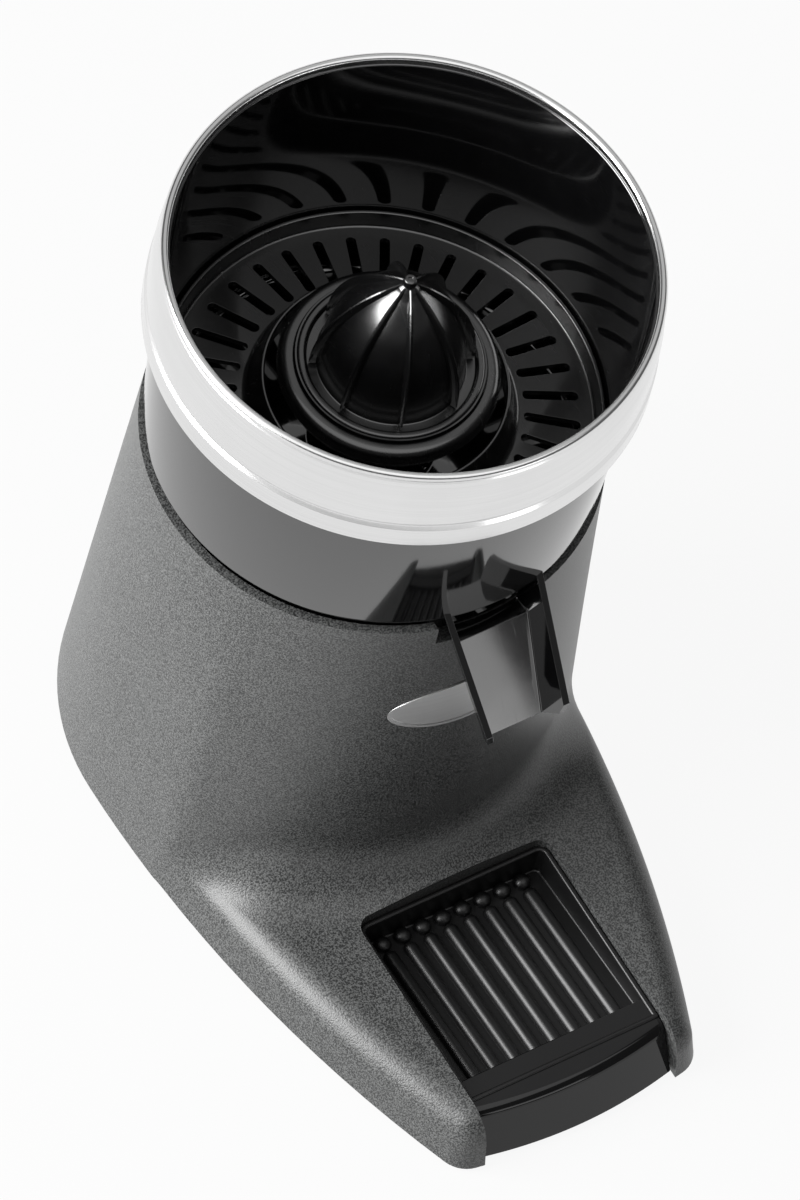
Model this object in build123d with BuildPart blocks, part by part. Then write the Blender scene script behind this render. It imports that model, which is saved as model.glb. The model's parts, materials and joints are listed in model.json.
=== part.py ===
"""Motor-driven citrus juicer, built as separate pieces in one frame.

Millimetres, +Z up. The drive axis is the Z axis, the table is z = 0 and the chute points to -Y.
Every piece is drawn where it sits when the juicer is put together and switched off.
"""
from math import acos, asin, atan2, cos, degrees, radians, sin, tan
import os

from build123d import *

os.makedirs("parts", exist_ok=True)

# Driving sizes. The rim radius of the bowl is the size that the photo measures everything against.
rim_radius = 100.0
rim_height = 347.0

# Fits shared by pieces that go together
overrun = 2.0
lift_gap = 0.4
run_gap = 0.05
screw_gap = 0.25
seal_gap = 0.3

# Body: outline of the foot, seen from above
body_bottom = 3.0
body_wall = 4.0
half_width = 105.5
rear_centre = 5.0
side_radius = 613.0
nose_reach = 228.0
nose_bulge = 5.5
nose_round = 14.0

# Body: tower and foot
tower_top = 219.5
tower_step = 2.0
tower_lean = 2.0
front_radius = 131.0
crease_round = 18.0
foot_top = 29.5
foot_draft = 11.0
foot_inset = 0.4
foot_round = 15.0
cove_radius = 30.0
deck_top = 209.0
deck_thickness = 6.0
rim_wall = 4.0
boss_radius = 20.0
boss_top = 232.0
notch_round = 4.0

# Drip tray and its pocket in the foot
pocket_side = 58.0
pocket_rear = 115.0
pocket_floor = 7.0
pocket_wall = 3.0
pocket_round = 6.0
pocket_edge_round = 3.0
tray_gap = 0.5
tray_wall = 2.2
tray_top = 26.0
tray_rear_floor = 9.6
tray_front_floor = 17.0
tray_round = 5.0
rib_count = 8
rib_pitch = 10.0
rib_radius = 3.3
rib_sink = 1.0
rib_rear = 122.0
plate_rear = 210.5
plate_front = 226.5
plate_bulge = 5.0
plate_low = 4.0
plate_high = 25.0
plate_lean = 28.0
plate_edge_round = 4.0

# Bowl and chute
floor_thickness = 3.0
cup_step = 8.5
bowl_wall = 3.0
bowl_edge = 223.8
bowl_edge_step = 3.0
bowl_top_depth = 3.9
bowl_top_step = 2.3
bowl_round = 4.0
ledge_height = 236.0
ledge_step = 6.1
chimney_wall = 3.0
chimney_top = 262.0
mouth_top = 220.0
mouth_half = 19.0
chute_rear_step = 4.5
chute_trim_step = 1.5
chute_top_step = 1.5
chute_top_rear_height = 232.0
chute_half_rear = 23.6
chute_end_step = 42.9
chute_end_height = 187.8
chute_half_end = 18.7
chute_bend_step = 11.0
chute_floor_step = 40.7
chute_floor_end_height = 180.5
chute_wall = 2.4
chute_floor = 2.7
chute_round = 4.0

# Splash ring
ring_sheet = 1.0
ring_bottom_depth = 46.3
ring_bottom_step = 3.9
ring_lip_depth = 35.6
ring_groove_depth = 33.8
ring_groove_step = 2.6
ring_band_low_depth = 32.0
ring_band_low_step = 3.2
ring_band_mid_depth = 17.0
ring_band_mid_step = 2.9
ring_band_top_step = 1.5
bead_radius = 1.95
bead_neck_depth = 4.6

# Strainer
strainer_lip = 246.0
strainer_lip_wall = 1.8
strainer_plate = 2.6
strainer_slope_rise = 4.6
slot_count = 36
slot_turn = 7.7
slot_inner = 59.7
slot_margin = 4.5
slot_width = 4.2
collar_top = 259.4
collar_radius = 51.9
collar_base = 56.0
collar_wall = 1.8

# Reamer cone
cone_base = 276.2
cone_base_radius = 34.3
dome_base_radius = 30.5
dome_radius = 65.7
cone_neck_radius = 4.6
cone_tip = 335.0
cone_tip_share = 0.7
cone_wall = 3.0
cone_hub_radius = 14.0
cone_hub_roof = 302.6
cone_seat = 270.0
cone_rib_count = 8
cone_rib_turn = 21.0
cone_rib_height = 3.6
cone_rib_root = 1.5
cone_rib_width = 2.6
flange_radius = 44.7
flange_top = 273.4
flange_under = 270.6
flange_skirt = 263.0
flange_skirt_wall = 1.8
flange_valley = 272.4
flange_bead_radius = 37.5
flange_bead_top = 275.8
flange_bead_half = 1.8

# Drip shield on the shaft
shield_hub_radius = 13.0
shield_disc_under = 263.8
shield_disc = 2.2
shield_radius = 32.5
shield_skirt = 252.0

# Motor
shaft_top = 302.0
shaft_shoulder = 258.0
shaft_end_radius = 7.5
shaft_radius = 8.5
shaft_core_radius = 10.0
shaft_fan_radius = 6.0
shaft_bottom = 46.0
shaft_chamfer = 1.0
pin_height = 276.0
pin_radius = 2.5
pin_half = 10.5
bearing_radius = 20.0
bearing_width = 12.0
bearing_ring = 4.0
bearing_shield = 0.8
upper_bearing_low = 187.0
lower_bearing_low = 80.0
stator_low = 110.0
stator_high = 168.0
stator_radius = 65.0
rotor_radius = 34.0
air_gap = 0.6
stator_slots = 24
stator_slot_inner = 37.5
stator_slot_outer = 51.0
stator_slot_width = 5.0
winding_inner = 38.0
winding_outer = 52.0
winding_height = 15.0
winding_round = 4.0
winding_gap = 0.3
shield_disc_wall = 6.0
motor_shield_cavity = 54.0
motor_shield_height = 35.0
motor_hub_radius = 26.0
motor_hub_height = 18.5
shaft_clear = 1.5
tie_circle = 59.5
tie_radius = 2.5
tie_head_radius = 4.5
tie_head = 5.0
tie_end = 200.0
tie_count = 4
motor_screw_circle = 40.0
motor_screw_radius = 2.5
motor_screw_head_radius = 4.4
motor_screw_head = 3.2
motor_screw_depth = 5.0
seal_radius = 15.0
seal_height = 8.0
fan_low = 48.0
fan_high = 62.0
fan_hub_radius = 11.0
fan_radius = 50.0
fan_blades = 8
fan_blade = 2.2
fan_disc = 2.0

# Base plate, feet and screws
base_plate_low = 6.0
base_plate_sheet = 2.0
base_plate_gap = 1.8
base_plate_front = 190.0
pillar_radius = 7.0
pillar_web = 34.0
rear_pillar_side = 45.5
rear_pillar_back = 38.5
mid_pillar_side = 13.5
mid_pillar_y = 38.0
front_pillar_side = 19.5
front_pillar_y = 150.0
vent_rows = 7
vent_pitch = 11.0
vent_length = 60.0
vent_width = 5.0
foot_radius = 9.0
foot_flare = 1.2
foot_recess = 4.5
foot_recess_depth = 3.0
foot_screw_radius = 2.0
foot_screw_head_radius = 3.6
foot_screw_head = 2.0
foot_screw_end = 20.0
plate_screw_head = 2.4

# Electrical pieces
capacitor_radius = 17.0
capacitor_half = 30.0
capacitor_y = 58.0
capacitor_cap = 4.0
capacitor_cap_radius = 14.0
tag_width = 6.3
tag_height = 9.0
tag_sheet = 0.8
tag_spacing = 12.0
clip_width = 14.0
clip_sheet = 1.2
clip_foot = 8.0
terminal_x = 62.0
terminal_y = 38.0
terminal_length = 40.0
terminal_depth = 18.0
terminal_height = 16.0
terminal_wells = 4
terminal_well_radius = 2.4
terminal_well_depth = 8.0
switch_height = 70.0
switch_sink = 1.68
switch_pad_depth = 8.5
switch_pad_width = 24.0
switch_pad_length = 44.0
switch_bezel_width = 17.0
switch_bezel_length = 34.0
switch_bezel = 2.0
switch_body_width = 12.6
switch_body_length = 28.0
switch_body_depth = 22.0
switch_wall = 1.4
switch_fit = 0.2
rocker_gap = 0.4
rocker_root = 3.0
rocker_side = 5.0
rocker_reach = 10.6
rocker_face = 10.6
rocker_dip = 1.8
rocker_tilt = 8.0
rocker_pivot_depth = 9.0
rocker_pin_radius = 1.5
gland_height = 24.0
gland_sink = 2.79
gland_pad_depth = 10.5
gland_pad_radius = 15.0
gland_thread_radius = 7.6
gland_flange_radius = 11.0
gland_flange = 4.0
gland_nose_radius = 8.5
gland_nose = 9.0
gland_bore = 4.0
gland_tail = 16.0

# Bare oval plate on the body front
badge_height = 156.0
badge_half_length = 38.0
badge_half_height = 16.0
badge_sink = 0.6
badge_sheet = 1.8

# Places that follow from the sizes above
tower_radius = rim_radius - tower_step
tower_front = tower_radius + tower_lean
tower_height = tower_top - body_bottom
body_rear = rear_centre + half_width
deck_under = deck_top - deck_thickness
rim_inner = tower_radius - rim_wall
cup_radius = rim_radius - cup_step
ledge_radius = rim_radius - ledge_step
bowl_edge_radius = rim_radius - bowl_edge_step
bowl_top_radius = rim_radius + bowl_top_step
bowl_top = rim_height - bowl_top_depth
bowl_floor = deck_top + floor_thickness
chimney_inner = boss_radius + lift_gap
chimney_outer = chimney_inner + chimney_wall
cup_inner = cup_radius - bowl_wall
chute_rear = cup_radius - chute_rear_step
chute_trim = cup_radius - chute_trim_step
chute_top_rear = cup_radius + chute_top_step
chute_bend = cup_radius + chute_bend_step
chute_floor_end = cup_radius + chute_floor_step
chute_end = cup_radius + chute_end_step
chute_slope = (chute_top_rear_height - chute_end_height) / (chute_end - chute_top_rear)
chute_rear_height = chute_end_height + (chute_end - chute_rear) * chute_slope
chute_taper = (chute_half_rear - chute_half_end) / (chute_end - chute_top_rear)
chute_half_start = chute_half_end + (chute_end - chute_rear) * chute_taper
notch_half = chute_half_start + lift_gap
slot_outer = cup_inner - slot_margin
ring_bottom = rim_height - ring_bottom_depth
ring_bottom_radius = bowl_top_radius + ring_bottom_step
ring_lip_top = rim_height - ring_lip_depth
ring_groove = rim_height - ring_groove_depth
ring_groove_radius = bowl_top_radius + ring_groove_step
ring_band_low = rim_height - ring_band_low_depth
ring_band_low_radius = bowl_top_radius + ring_band_low_step
ring_band_mid = rim_height - ring_band_mid_depth
ring_band_mid_radius = bowl_top_radius + ring_band_mid_step
ring_band_top_radius = bowl_top_radius + ring_band_top_step
bead_neck = rim_height - bead_neck_depth
badge_floor_radius = tower_radius - badge_sink
bore_radius = shaft_end_radius + run_gap
slot_half = pin_radius + seal_gap
pin_slot = pin_half + seal_gap
upper_bearing_high = upper_bearing_low + bearing_width
lower_bearing_high = lower_bearing_low + bearing_width
motor_bottom = stator_low - motor_shield_height
base_plate_high = base_plate_low + base_plate_sheet
bearing_lows = (lower_bearing_low, upper_bearing_low)
pocket_half = half_width - pocket_side
pocket_outer = pocket_half + pocket_wall
pocket_front = plate_rear - (pocket_floor - plate_low) * tan(radians(plate_lean)) - tray_gap
rear_pillar_x = half_width - rear_pillar_side
rear_pillar_y = body_rear - rear_pillar_back
mid_pillar_x = half_width - mid_pillar_side
front_pillar_x = pocket_outer + front_pillar_side
switch_share = (switch_height - body_bottom) / tower_height
switch_flat = half_width + (tower_radius - half_width) * switch_share - switch_sink
switch_pad_inner = switch_flat - switch_pad_depth
gland_share = (gland_height - body_bottom) / tower_height
gland_flat = body_rear + (tower_radius - body_rear) * gland_share - gland_sink
gland_pad_inner = gland_flat - gland_pad_depth
foot_places = [
    (-rear_pillar_x, rear_pillar_y),
    (rear_pillar_x, rear_pillar_y),
    (-front_pillar_x, -front_pillar_y),
    (front_pillar_x, -front_pillar_y),
]
plate_screw_places = [(-mid_pillar_x, -mid_pillar_y), (mid_pillar_x, -mid_pillar_y)]
pillar_places = foot_places + plate_screw_places

# Outlines seen from above: a round rear, two long side arcs and a bulged nose. The tower's is the widest. Set in a
# little it is the foot's, by the wall the hollow's, and by the wall and a gap the base plate's.
foot_outlines = []
for inset in (0, foot_inset, body_wall, body_wall + base_plate_gap):
    side_sweep = degrees(asin((nose_reach - inset + rear_centre) / (side_radius - inset)))
    with BuildSketch() as outline:
        with BuildLine():
            CenterArc((0, rear_centre), half_width - inset, 0, 180)
            left_side = CenterArc((side_radius - half_width, rear_centre), side_radius - inset, 180, side_sweep)
            right_side = CenterArc((half_width - side_radius, rear_centre), side_radius - inset, 0, -side_sweep)
            ThreePointArc(left_side @ 1, (0, inset - nose_reach - nose_bulge), right_side @ 1)
        make_face()
        fillet(outline.vertices().sort_by(Axis.Y)[:2], nose_round - inset)
    foot_outlines.append(outline.sketch)
tower_outline, foot_outline, hollow_outline, plate_outline = foot_outlines

# Tower sections: the foot outline with a rounded front below, a circle above
with BuildSketch(Plane.XY.offset(body_bottom)) as tower_low:
    add(tower_outline)
    with Locations((0, front_radius - tower_front)):
        Circle(front_radius, mode=Mode.INTERSECT)
    fillet(tower_low.vertices().sort_by(Axis.Y)[:2], crease_round)
turns = sorted(atan2(corner.Y, corner.X) for corner in tower_low.vertices())
sweeps = [(stop - start) % radians(360) for start, stop in zip(turns, turns[1:] + turns[:1])]

with BuildSketch(Plane.XY.offset(tower_top)) as tower_high:
    with BuildLine():
        for start, sweep in zip(turns, sweeps):
            CenterArc((0, 0), tower_radius, degrees(start), degrees(sweep))
    make_face()

# Outside of the body: a drafted foot, the tower on it, and a cove where the two meet
with BuildPart() as foot_shape:
    with BuildSketch(Plane.XY.offset(body_bottom)):
        add(foot_outline)
    extrude(amount=foot_top - body_bottom, taper=foot_draft)
    fillet(foot_shape.faces().sort_by(Axis.Z)[-1].edges(), foot_round)

with BuildPart() as body_shape:
    loft([tower_low.sketch.face(), tower_high.sketch.face()], ruled=True)
    add(foot_shape.part)
    meeting = body_shape.edges().filter_by_position(Axis.Z, foot_top - run_gap, foot_top + run_gap)
    fillet(meeting.filter_by_position(Axis.Y, -tower_front, 0), cove_radius)
    split(bisect_by=Plane.YZ, keep=Keep.TOP)
    mirror(about=Plane.YZ)

# Oval plate and the seat that is cut for it: both follow one cylinder round the drive axis
with BuildPart() as badge_seat:
    with BuildSketch(Plane.XZ.offset(badge_floor_radius - badge_half_length)):
        with Locations((0, badge_height)):
            Ellipse(badge_half_length, badge_half_height)
    extrude(amount=badge_half_length + body_wall)
    Cylinder(badge_floor_radius, rim_height * 2, mode=Mode.SUBTRACT)

with BuildPart() as badge_plate:
    Cylinder(badge_floor_radius + badge_sheet, rim_height * 2)
    add(badge_seat.part, mode=Mode.INTERSECT)
badge_plate.part.label = "badge_plate"
export_step(badge_plate.part, "parts/badge_plate.step")

# Inside of the body: the tower's hollow up to the deck, and the hollow of the foot
with BuildPart() as tower_hollow:
    with BuildSketch(Plane.XY.offset(body_bottom - overrun)):
        with Locations((0, (body_rear - tower_front) / 2)):
            Circle((body_rear + tower_front) / 2 - body_wall)
    with BuildSketch(Plane.XY.offset(tower_top)):
        Circle(rim_inner)
    loft()
    with BuildSketch(Plane.XY.offset(body_bottom - overrun)):
        add(hollow_outline)
    extrude(amount=tower_height + overrun * 2, mode=Mode.INTERSECT)
    split(bisect_by=Plane.XY.offset(deck_under), keep=Keep.BOTTOM)

with BuildPart() as foot_hollow:
    with BuildSketch(Plane.XY.offset(body_bottom - overrun)):
        add(hollow_outline)
    extrude(amount=foot_top - body_wall - body_bottom + overrun, taper=foot_draft)
    fillet(foot_hollow.faces().sort_by(Axis.Z)[-1].edges(), foot_round - body_wall)

# What stands inside the hollow: the tray pocket's walls, the screw pillars and the seat pads
with BuildPart() as body_inside:
    with BuildSketch(Plane.XY.offset(body_bottom)):
        with Locations((0, pocket_wall - pocket_rear)):
            Rectangle(pocket_outer * 2, nose_reach, align=(Align.CENTER, Align.MAX))
    extrude(amount=foot_top - body_bottom)
    with BuildSketch(Plane.XY.offset(base_plate_high)):
        with Locations(pillar_places):
            Circle(pillar_radius)
            Rectangle(pillar_radius, pillar_web)
    extrude(amount=foot_top - base_plate_high)
    with BuildSketch(Plane.YZ.offset(switch_pad_inner)):
        with Locations((0, switch_height)):
            Rectangle(switch_pad_width, switch_pad_length)
    extrude(amount=half_width - switch_pad_inner)
    with BuildSketch(Plane.XZ.offset(-gland_pad_inner)):
        with Locations((0, gland_height)):
            Circle(gland_pad_radius)
    extrude(amount=-half_width)
    add(body_shape.part, mode=Mode.INTERSECT)

with BuildPart() as body_casting:
    add(body_shape.part)
    add(tower_hollow.part, mode=Mode.SUBTRACT)
    add(foot_hollow.part, mode=Mode.SUBTRACT)
    add(body_inside.part)
    # recessed top with a boss for the shaft and a seat for its seal
    with BuildSketch(Plane.XY.offset(deck_top)):
        Circle(rim_inner)
    extrude(amount=tower_top, mode=Mode.SUBTRACT)
    with BuildSketch(Plane.XY.offset(deck_under)):
        Circle(boss_radius)
    extrude(amount=boss_top - deck_under)
    with BuildSketch(Plane.XY.offset(deck_under)):
        Circle(shaft_core_radius)
    extrude(amount=boss_top - deck_under, mode=Mode.SUBTRACT)
    with BuildSketch(Plane.XY.offset(boss_top - seal_height)):
        Circle(seal_radius)
    extrude(amount=seal_height, mode=Mode.SUBTRACT)
    # notch in the rim for the chute
    with BuildSketch(Plane.XZ.offset(chute_rear)) as notch:
        with Locations((0, deck_top)):
            Rectangle(notch_half * 2, tower_top - deck_top + overrun, align=(Align.CENTER, Align.MIN))
        fillet(notch.vertices().sort_by(Axis.Z)[:2], notch_round)
    extrude(amount=tower_front - chute_rear + overrun, mode=Mode.SUBTRACT)
    # screw holes of the motor, sunk for the heads
    with Locations((0, 0, deck_top)):
        with PolarLocations(motor_screw_circle, tie_count):
            CounterBoreHole(
                motor_screw_radius + screw_gap,
                motor_screw_head_radius + screw_gap,
                motor_screw_head,
                deck_thickness,
            )
    # pocket for the drip tray, open to the front
    with BuildSketch(Plane.XY.offset(pocket_floor)) as pocket:
        with Locations((0, -pocket_rear)):
            Rectangle(pocket_half * 2, nose_reach, align=(Align.CENTER, Align.MAX))
        fillet(pocket.vertices().sort_by(Axis.Y)[-2:], pocket_round)
    extrude(amount=foot_top + cove_radius, mode=Mode.SUBTRACT)
    with BuildSketch():
        with Locations((0, -pocket_front)):
            Rectangle(pocket_half * 2, nose_reach, align=(Align.CENTER, Align.MAX))
    extrude(amount=foot_top, mode=Mode.SUBTRACT)
    # screw holes in the pillars
    with BuildSketch(Plane.XY.offset(base_plate_high)):
        with Locations(pillar_places):
            Circle(foot_screw_radius)
    extrude(amount=foot_screw_end - base_plate_high, mode=Mode.SUBTRACT)
    # flat and opening for the switch
    with BuildSketch(Plane.YZ.offset(switch_flat)):
        with Locations((0, switch_height)):
            RectangleRounded(switch_pad_width, switch_pad_length, pocket_edge_round)
    extrude(amount=half_width - switch_flat, mode=Mode.SUBTRACT)
    with BuildSketch(Plane.YZ.offset(switch_pad_inner - overrun)):
        with Locations((0, switch_height)):
            Rectangle(switch_body_width, switch_body_length)
    extrude(amount=half_width - switch_pad_inner, mode=Mode.SUBTRACT)
    # flat and hole for the cable gland
    with BuildSketch(Plane.XZ.offset(-gland_flat)):
        with Locations((0, gland_height)):
            Circle(gland_flange_radius + tray_gap)
    extrude(amount=-half_width, mode=Mode.SUBTRACT)
    with BuildSketch(Plane.XZ.offset(-gland_pad_inner + overrun)):
        with Locations((0, gland_height)):
            Circle(gland_thread_radius)
    extrude(amount=-half_width, mode=Mode.SUBTRACT)
    add(badge_seat.part, mode=Mode.SUBTRACT)
body_casting.part.label = "body_casting"
export_step(body_casting.part, "parts/body_casting.step")

# Base plate: closes the body from below, round the tray pocket
with BuildPart() as base_plate:
    with BuildSketch(Plane.XY.offset(base_plate_low)):
        add(plate_outline)
        with Locations((0, pocket_wall + base_plate_gap - pocket_rear)):
            Rectangle(
                (pocket_outer + base_plate_gap) * 2,
                nose_reach,
                align=(Align.CENTER, Align.MAX),
                mode=Mode.SUBTRACT,
            )
        with Locations((0, -base_plate_front)):
            Rectangle(half_width * 2, nose_reach, align=(Align.CENTER, Align.MAX), mode=Mode.SUBTRACT)
        with Locations(pillar_places):
            Circle(foot_screw_radius + screw_gap, mode=Mode.SUBTRACT)
        with GridLocations(0, vent_pitch, 1, vent_rows):
            SlotOverall(vent_length, vent_width, mode=Mode.SUBTRACT)
    extrude(amount=base_plate_sheet)
base_plate.part.label = "base_plate"
export_step(base_plate.part, "parts/base_plate.step")

with BuildPart() as rubber_feet:
    with BuildSketch():
        with Locations(foot_places):
            Circle(foot_radius)
    extrude(amount=base_plate_low, taper=-foot_flare)
    with BuildSketch():
        with Locations(foot_places):
            Circle(foot_recess)
    extrude(amount=foot_recess_depth, mode=Mode.SUBTRACT)
    with BuildSketch():
        with Locations(foot_places):
            Circle(foot_screw_radius + screw_gap)
    extrude(amount=base_plate_low, mode=Mode.SUBTRACT)
rubber_feet.part.label = "rubber_feet"
export_step(rubber_feet.part, "parts/rubber_feet.step")

with BuildPart() as foot_screws:
    with BuildSketch(Plane.XY.offset(foot_recess_depth - foot_screw_head)):
        with Locations(foot_places):
            Circle(foot_screw_head_radius)
    extrude(amount=foot_screw_head)
    with BuildSketch(Plane.XY.offset(foot_recess_depth)):
        with Locations(foot_places):
            Circle(foot_screw_radius)
    extrude(amount=foot_screw_end - foot_recess_depth)
foot_screws.part.label = "foot_screws"
export_step(foot_screws.part, "parts/foot_screws.step")

with BuildPart() as base_plate_screws:
    with BuildSketch(Plane.XY.offset(base_plate_low - plate_screw_head)):
        with Locations(plate_screw_places):
            Circle(foot_screw_head_radius)
    extrude(amount=plate_screw_head)
    with BuildSketch(Plane.XY.offset(base_plate_low)):
        with Locations(plate_screw_places):
            Circle(foot_screw_radius)
    extrude(amount=foot_screw_end - base_plate_low)
base_plate_screws.part.label = "base_plate_screws"
export_step(base_plate_screws.part, "parts/base_plate_screws.step")

# Drip tray: a tub with a floor that rises to the front, round ribs and a curved front plate
tray_half = pocket_half - tray_gap
tray_rear = pocket_rear + tray_gap
tray_rise = tray_front_floor - tray_rear_floor
tray_run = plate_rear - tray_rear - tray_wall
tray_tilt = degrees(atan2(tray_rise, tray_run))
rib_start = tray_rear_floor + (rib_rear - tray_rear - tray_wall) * tray_rise / tray_run - rib_sink
rib_plane = Plane(
    origin=(0, -rib_rear, rib_start),
    x_dir=(1, 0, 0),
    z_dir=(0, -cos(radians(tray_tilt)), sin(radians(tray_tilt))),
)
plate_plane = Plane(
    origin=(0, -plate_rear - tray_wall, plate_low),
    x_dir=(1, 0, 0),
    z_dir=(0, cos(radians(plate_lean)), -sin(radians(plate_lean))),
)

with BuildPart() as drip_tray:
    with BuildSketch(Plane.XY.offset(pocket_floor)) as tub:
        with Locations((0, -tray_rear)):
            Rectangle(tray_half * 2, plate_rear - tray_rear, align=(Align.CENTER, Align.MAX))
        fillet(tub.vertices().sort_by(Axis.Y)[-2:], tray_round)
    extrude(amount=tray_top - pocket_floor)
    with BuildSketch(Plane.YZ):
        with BuildLine():
            Polyline(
                (-tray_rear - tray_wall, tray_rear_floor),
                (-plate_rear, tray_front_floor),
                (-plate_rear, tray_top + overrun),
                (-tray_rear - tray_wall, tray_top + overrun),
                close=True,
            )
        make_face()
    extrude(amount=tray_half - tray_wall, both=True, mode=Mode.SUBTRACT)
    with BuildSketch(rib_plane):
        with GridLocations(rib_pitch, 0, rib_count, 1):
            Circle(rib_radius)
    extrude(amount=(plate_rear - rib_rear) / cos(radians(tray_tilt)))
    with Locations(rib_plane):
        with GridLocations(rib_pitch, 0, rib_count, 1):
            Sphere(rib_radius)
    split(bisect_by=Plane.XY.offset(pocket_floor), keep=Keep.TOP)
    split(bisect_by=plate_plane, keep=Keep.TOP)
    with BuildSketch(Plane.XY.offset(plate_low)):
        with BuildLine():
            plate_back = Line((-tray_half, -plate_rear), (tray_half, -plate_rear))
            plate_side = Line(plate_back @ 1, (tray_half, -plate_front))
            ThreePointArc(plate_side @ 1, (0, -plate_front - plate_bulge), (-tray_half, -plate_front))
            Line((-tray_half, -plate_front), plate_back @ 0)
        make_face()
    extrude(
        amount=(plate_high - plate_low) / cos(radians(plate_lean)),
        dir=(0, sin(radians(plate_lean)), cos(radians(plate_lean))),
    )
    plate_edges = drip_tray.edges().filter_by_position(Axis.Z, plate_high - run_gap, plate_high + run_gap)
    fillet(plate_edges.sort_by(Axis.Y)[0], plate_edge_round)
drip_tray.part.label = "drip_tray"
export_step(drip_tray.part, "parts/drip_tray.step")

# Bowl: a stepped cup with a chimney round the shaft, and an open chute at the front
chute_half_lip = chute_half_end - chute_taper * overrun
chute_floor_slope = (bowl_floor - chute_floor_end_height) / (chute_floor_end - chute_bend)
chute_middle = (chute_bend + chute_floor_end) / 2

with BuildPart() as chute_shape:
    with BuildSketch():
        with BuildLine():
            Polyline(
                (-chute_half_start, -chute_rear),
                (-chute_half_end, -chute_end),
                (chute_half_end, -chute_end),
                (chute_half_start, -chute_rear),
                close=True,
            )
        make_face()
    extrude(amount=rim_height)
    with BuildSketch(Plane.YZ):
        with BuildLine():
            Polyline(
                (-chute_rear, bowl_floor - chute_floor),
                (chute_floor - chute_bend, bowl_floor - chute_floor),
                (chute_floor - chute_floor_end, chute_floor_end_height - chute_floor),
                (-chute_end, chute_end_height),
                (-chute_rear, chute_rear_height),
                close=True,
            )
        make_face()
    extrude(amount=half_width, both=True, mode=Mode.INTERSECT)
    chute_corners = chute_shape.edges().filter_by_position(Axis.Z, 0, bowl_floor)
    chute_corners = chute_corners.filter_by_position(Axis.Y, -chute_middle, 0)
    fillet(chute_corners.filter_by(lambda edge: abs(edge.center().X) > mouth_half / 2), chute_round + chute_wall)

with BuildPart() as channel_shape:
    with BuildSketch():
        with BuildLine():
            Polyline(
                (chute_wall - chute_half_start, -chute_rear),
                (chute_wall - chute_half_lip, -chute_end - overrun),
                (chute_half_lip - chute_wall, -chute_end - overrun),
                (chute_half_start - chute_wall, -chute_rear),
                close=True,
            )
        make_face()
    extrude(amount=rim_height)
    with BuildSketch(Plane.YZ):
        with BuildLine():
            Polyline(
                (-chute_rear, bowl_floor),
                (-chute_bend, bowl_floor),
                (-chute_end - overrun, bowl_floor - (chute_end + overrun - chute_bend) * chute_floor_slope),
                (-chute_end - overrun, rim_height),
                (-chute_rear, rim_height),
                close=True,
            )
        make_face()
    extrude(amount=half_width, both=True, mode=Mode.INTERSECT)
    channel_corners = channel_shape.edges().filter_by_position(Axis.Z, 0, bowl_floor + run_gap)
    fillet(channel_corners.filter_by(lambda edge: abs(edge.center().X) > mouth_half / 2), chute_round)

with BuildPart() as bowl:
    add(chute_shape.part)
    add(channel_shape.part, mode=Mode.SUBTRACT)
    Cylinder(chute_trim, rim_height * 2, mode=Mode.SUBTRACT)
    with BuildSketch(Plane.XY.offset(ledge_height)):
        Circle(ledge_radius + bowl_wall / 2)
    extrude(amount=rim_height, mode=Mode.SUBTRACT)
    with BuildSketch(Plane.XZ) as bowl_section:
        with BuildLine():
            Polyline(
                (chimney_inner, deck_top),
                (cup_radius, deck_top),
                (cup_radius, bowl_edge),
                (bowl_edge_radius, bowl_edge),
                (bowl_top_radius, bowl_top),
                (bowl_top_radius - bowl_wall, bowl_top),
                (ledge_radius, ledge_height),
                (cup_inner, ledge_height),
                (cup_inner, bowl_floor),
                (chimney_outer, bowl_floor),
                (chimney_outer, chimney_top),
                (chimney_inner, chimney_top),
                close=True,
            )
        make_face()
        fillet(bowl_section.vertices().sort_by_distance((bowl_edge_radius, bowl_edge))[0], bowl_round)
    revolve(axis=Axis.Z)
    with BuildSketch(Plane.XZ.offset(chute_rear - bowl_wall)):
        with Locations((0, bowl_floor)):
            Rectangle(mouth_half * 2, mouth_top - bowl_floor, align=(Align.CENTER, Align.MIN))
    extrude(amount=chute_bend - chute_rear, mode=Mode.SUBTRACT)
bowl.part.label = "bowl"
export_step(bowl.part, "parts/bowl.step")

# Splash ring: one sheet with a rolled bead, set over the top edge of the bowl
bead_centre = rim_radius + bead_radius
with BuildPart() as splash_ring:
    with BuildSketch(Plane.XZ):
        with BuildLine():
            Polyline(
                (rim_radius, rim_height - bead_radius),
                (rim_radius, bowl_top),
                (ring_band_top_radius - ring_sheet, bowl_top),
            )
            ThreePointArc(
                (ring_band_top_radius - ring_sheet, bowl_top),
                (ring_band_mid_radius - ring_sheet, ring_band_mid),
                (ring_groove_radius - ring_sheet, ring_groove),
            )
            Polyline(
                (ring_groove_radius - ring_sheet, ring_groove),
                (ring_bottom_radius - ring_sheet, ring_bottom),
                (ring_bottom_radius, ring_bottom),
                (ring_bottom_radius, ring_lip_top),
                (ring_groove_radius, ring_groove),
                (ring_band_low_radius, ring_band_low),
            )
            ThreePointArc(
                (ring_band_low_radius, ring_band_low),
                (ring_band_mid_radius, ring_band_mid),
                (ring_band_top_radius, bead_neck),
            )
            Line((ring_band_top_radius, bead_neck), (bead_centre + bead_radius, rim_height - bead_radius))
            ThreePointArc(
                (bead_centre + bead_radius, rim_height - bead_radius),
                (bead_centre, rim_height),
                (rim_radius, rim_height - bead_radius),
            )
        make_face()
    revolve(axis=Axis.Z)
splash_ring.part.label = "splash_ring"
export_step(splash_ring.part, "parts/splash_ring.step")

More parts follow.
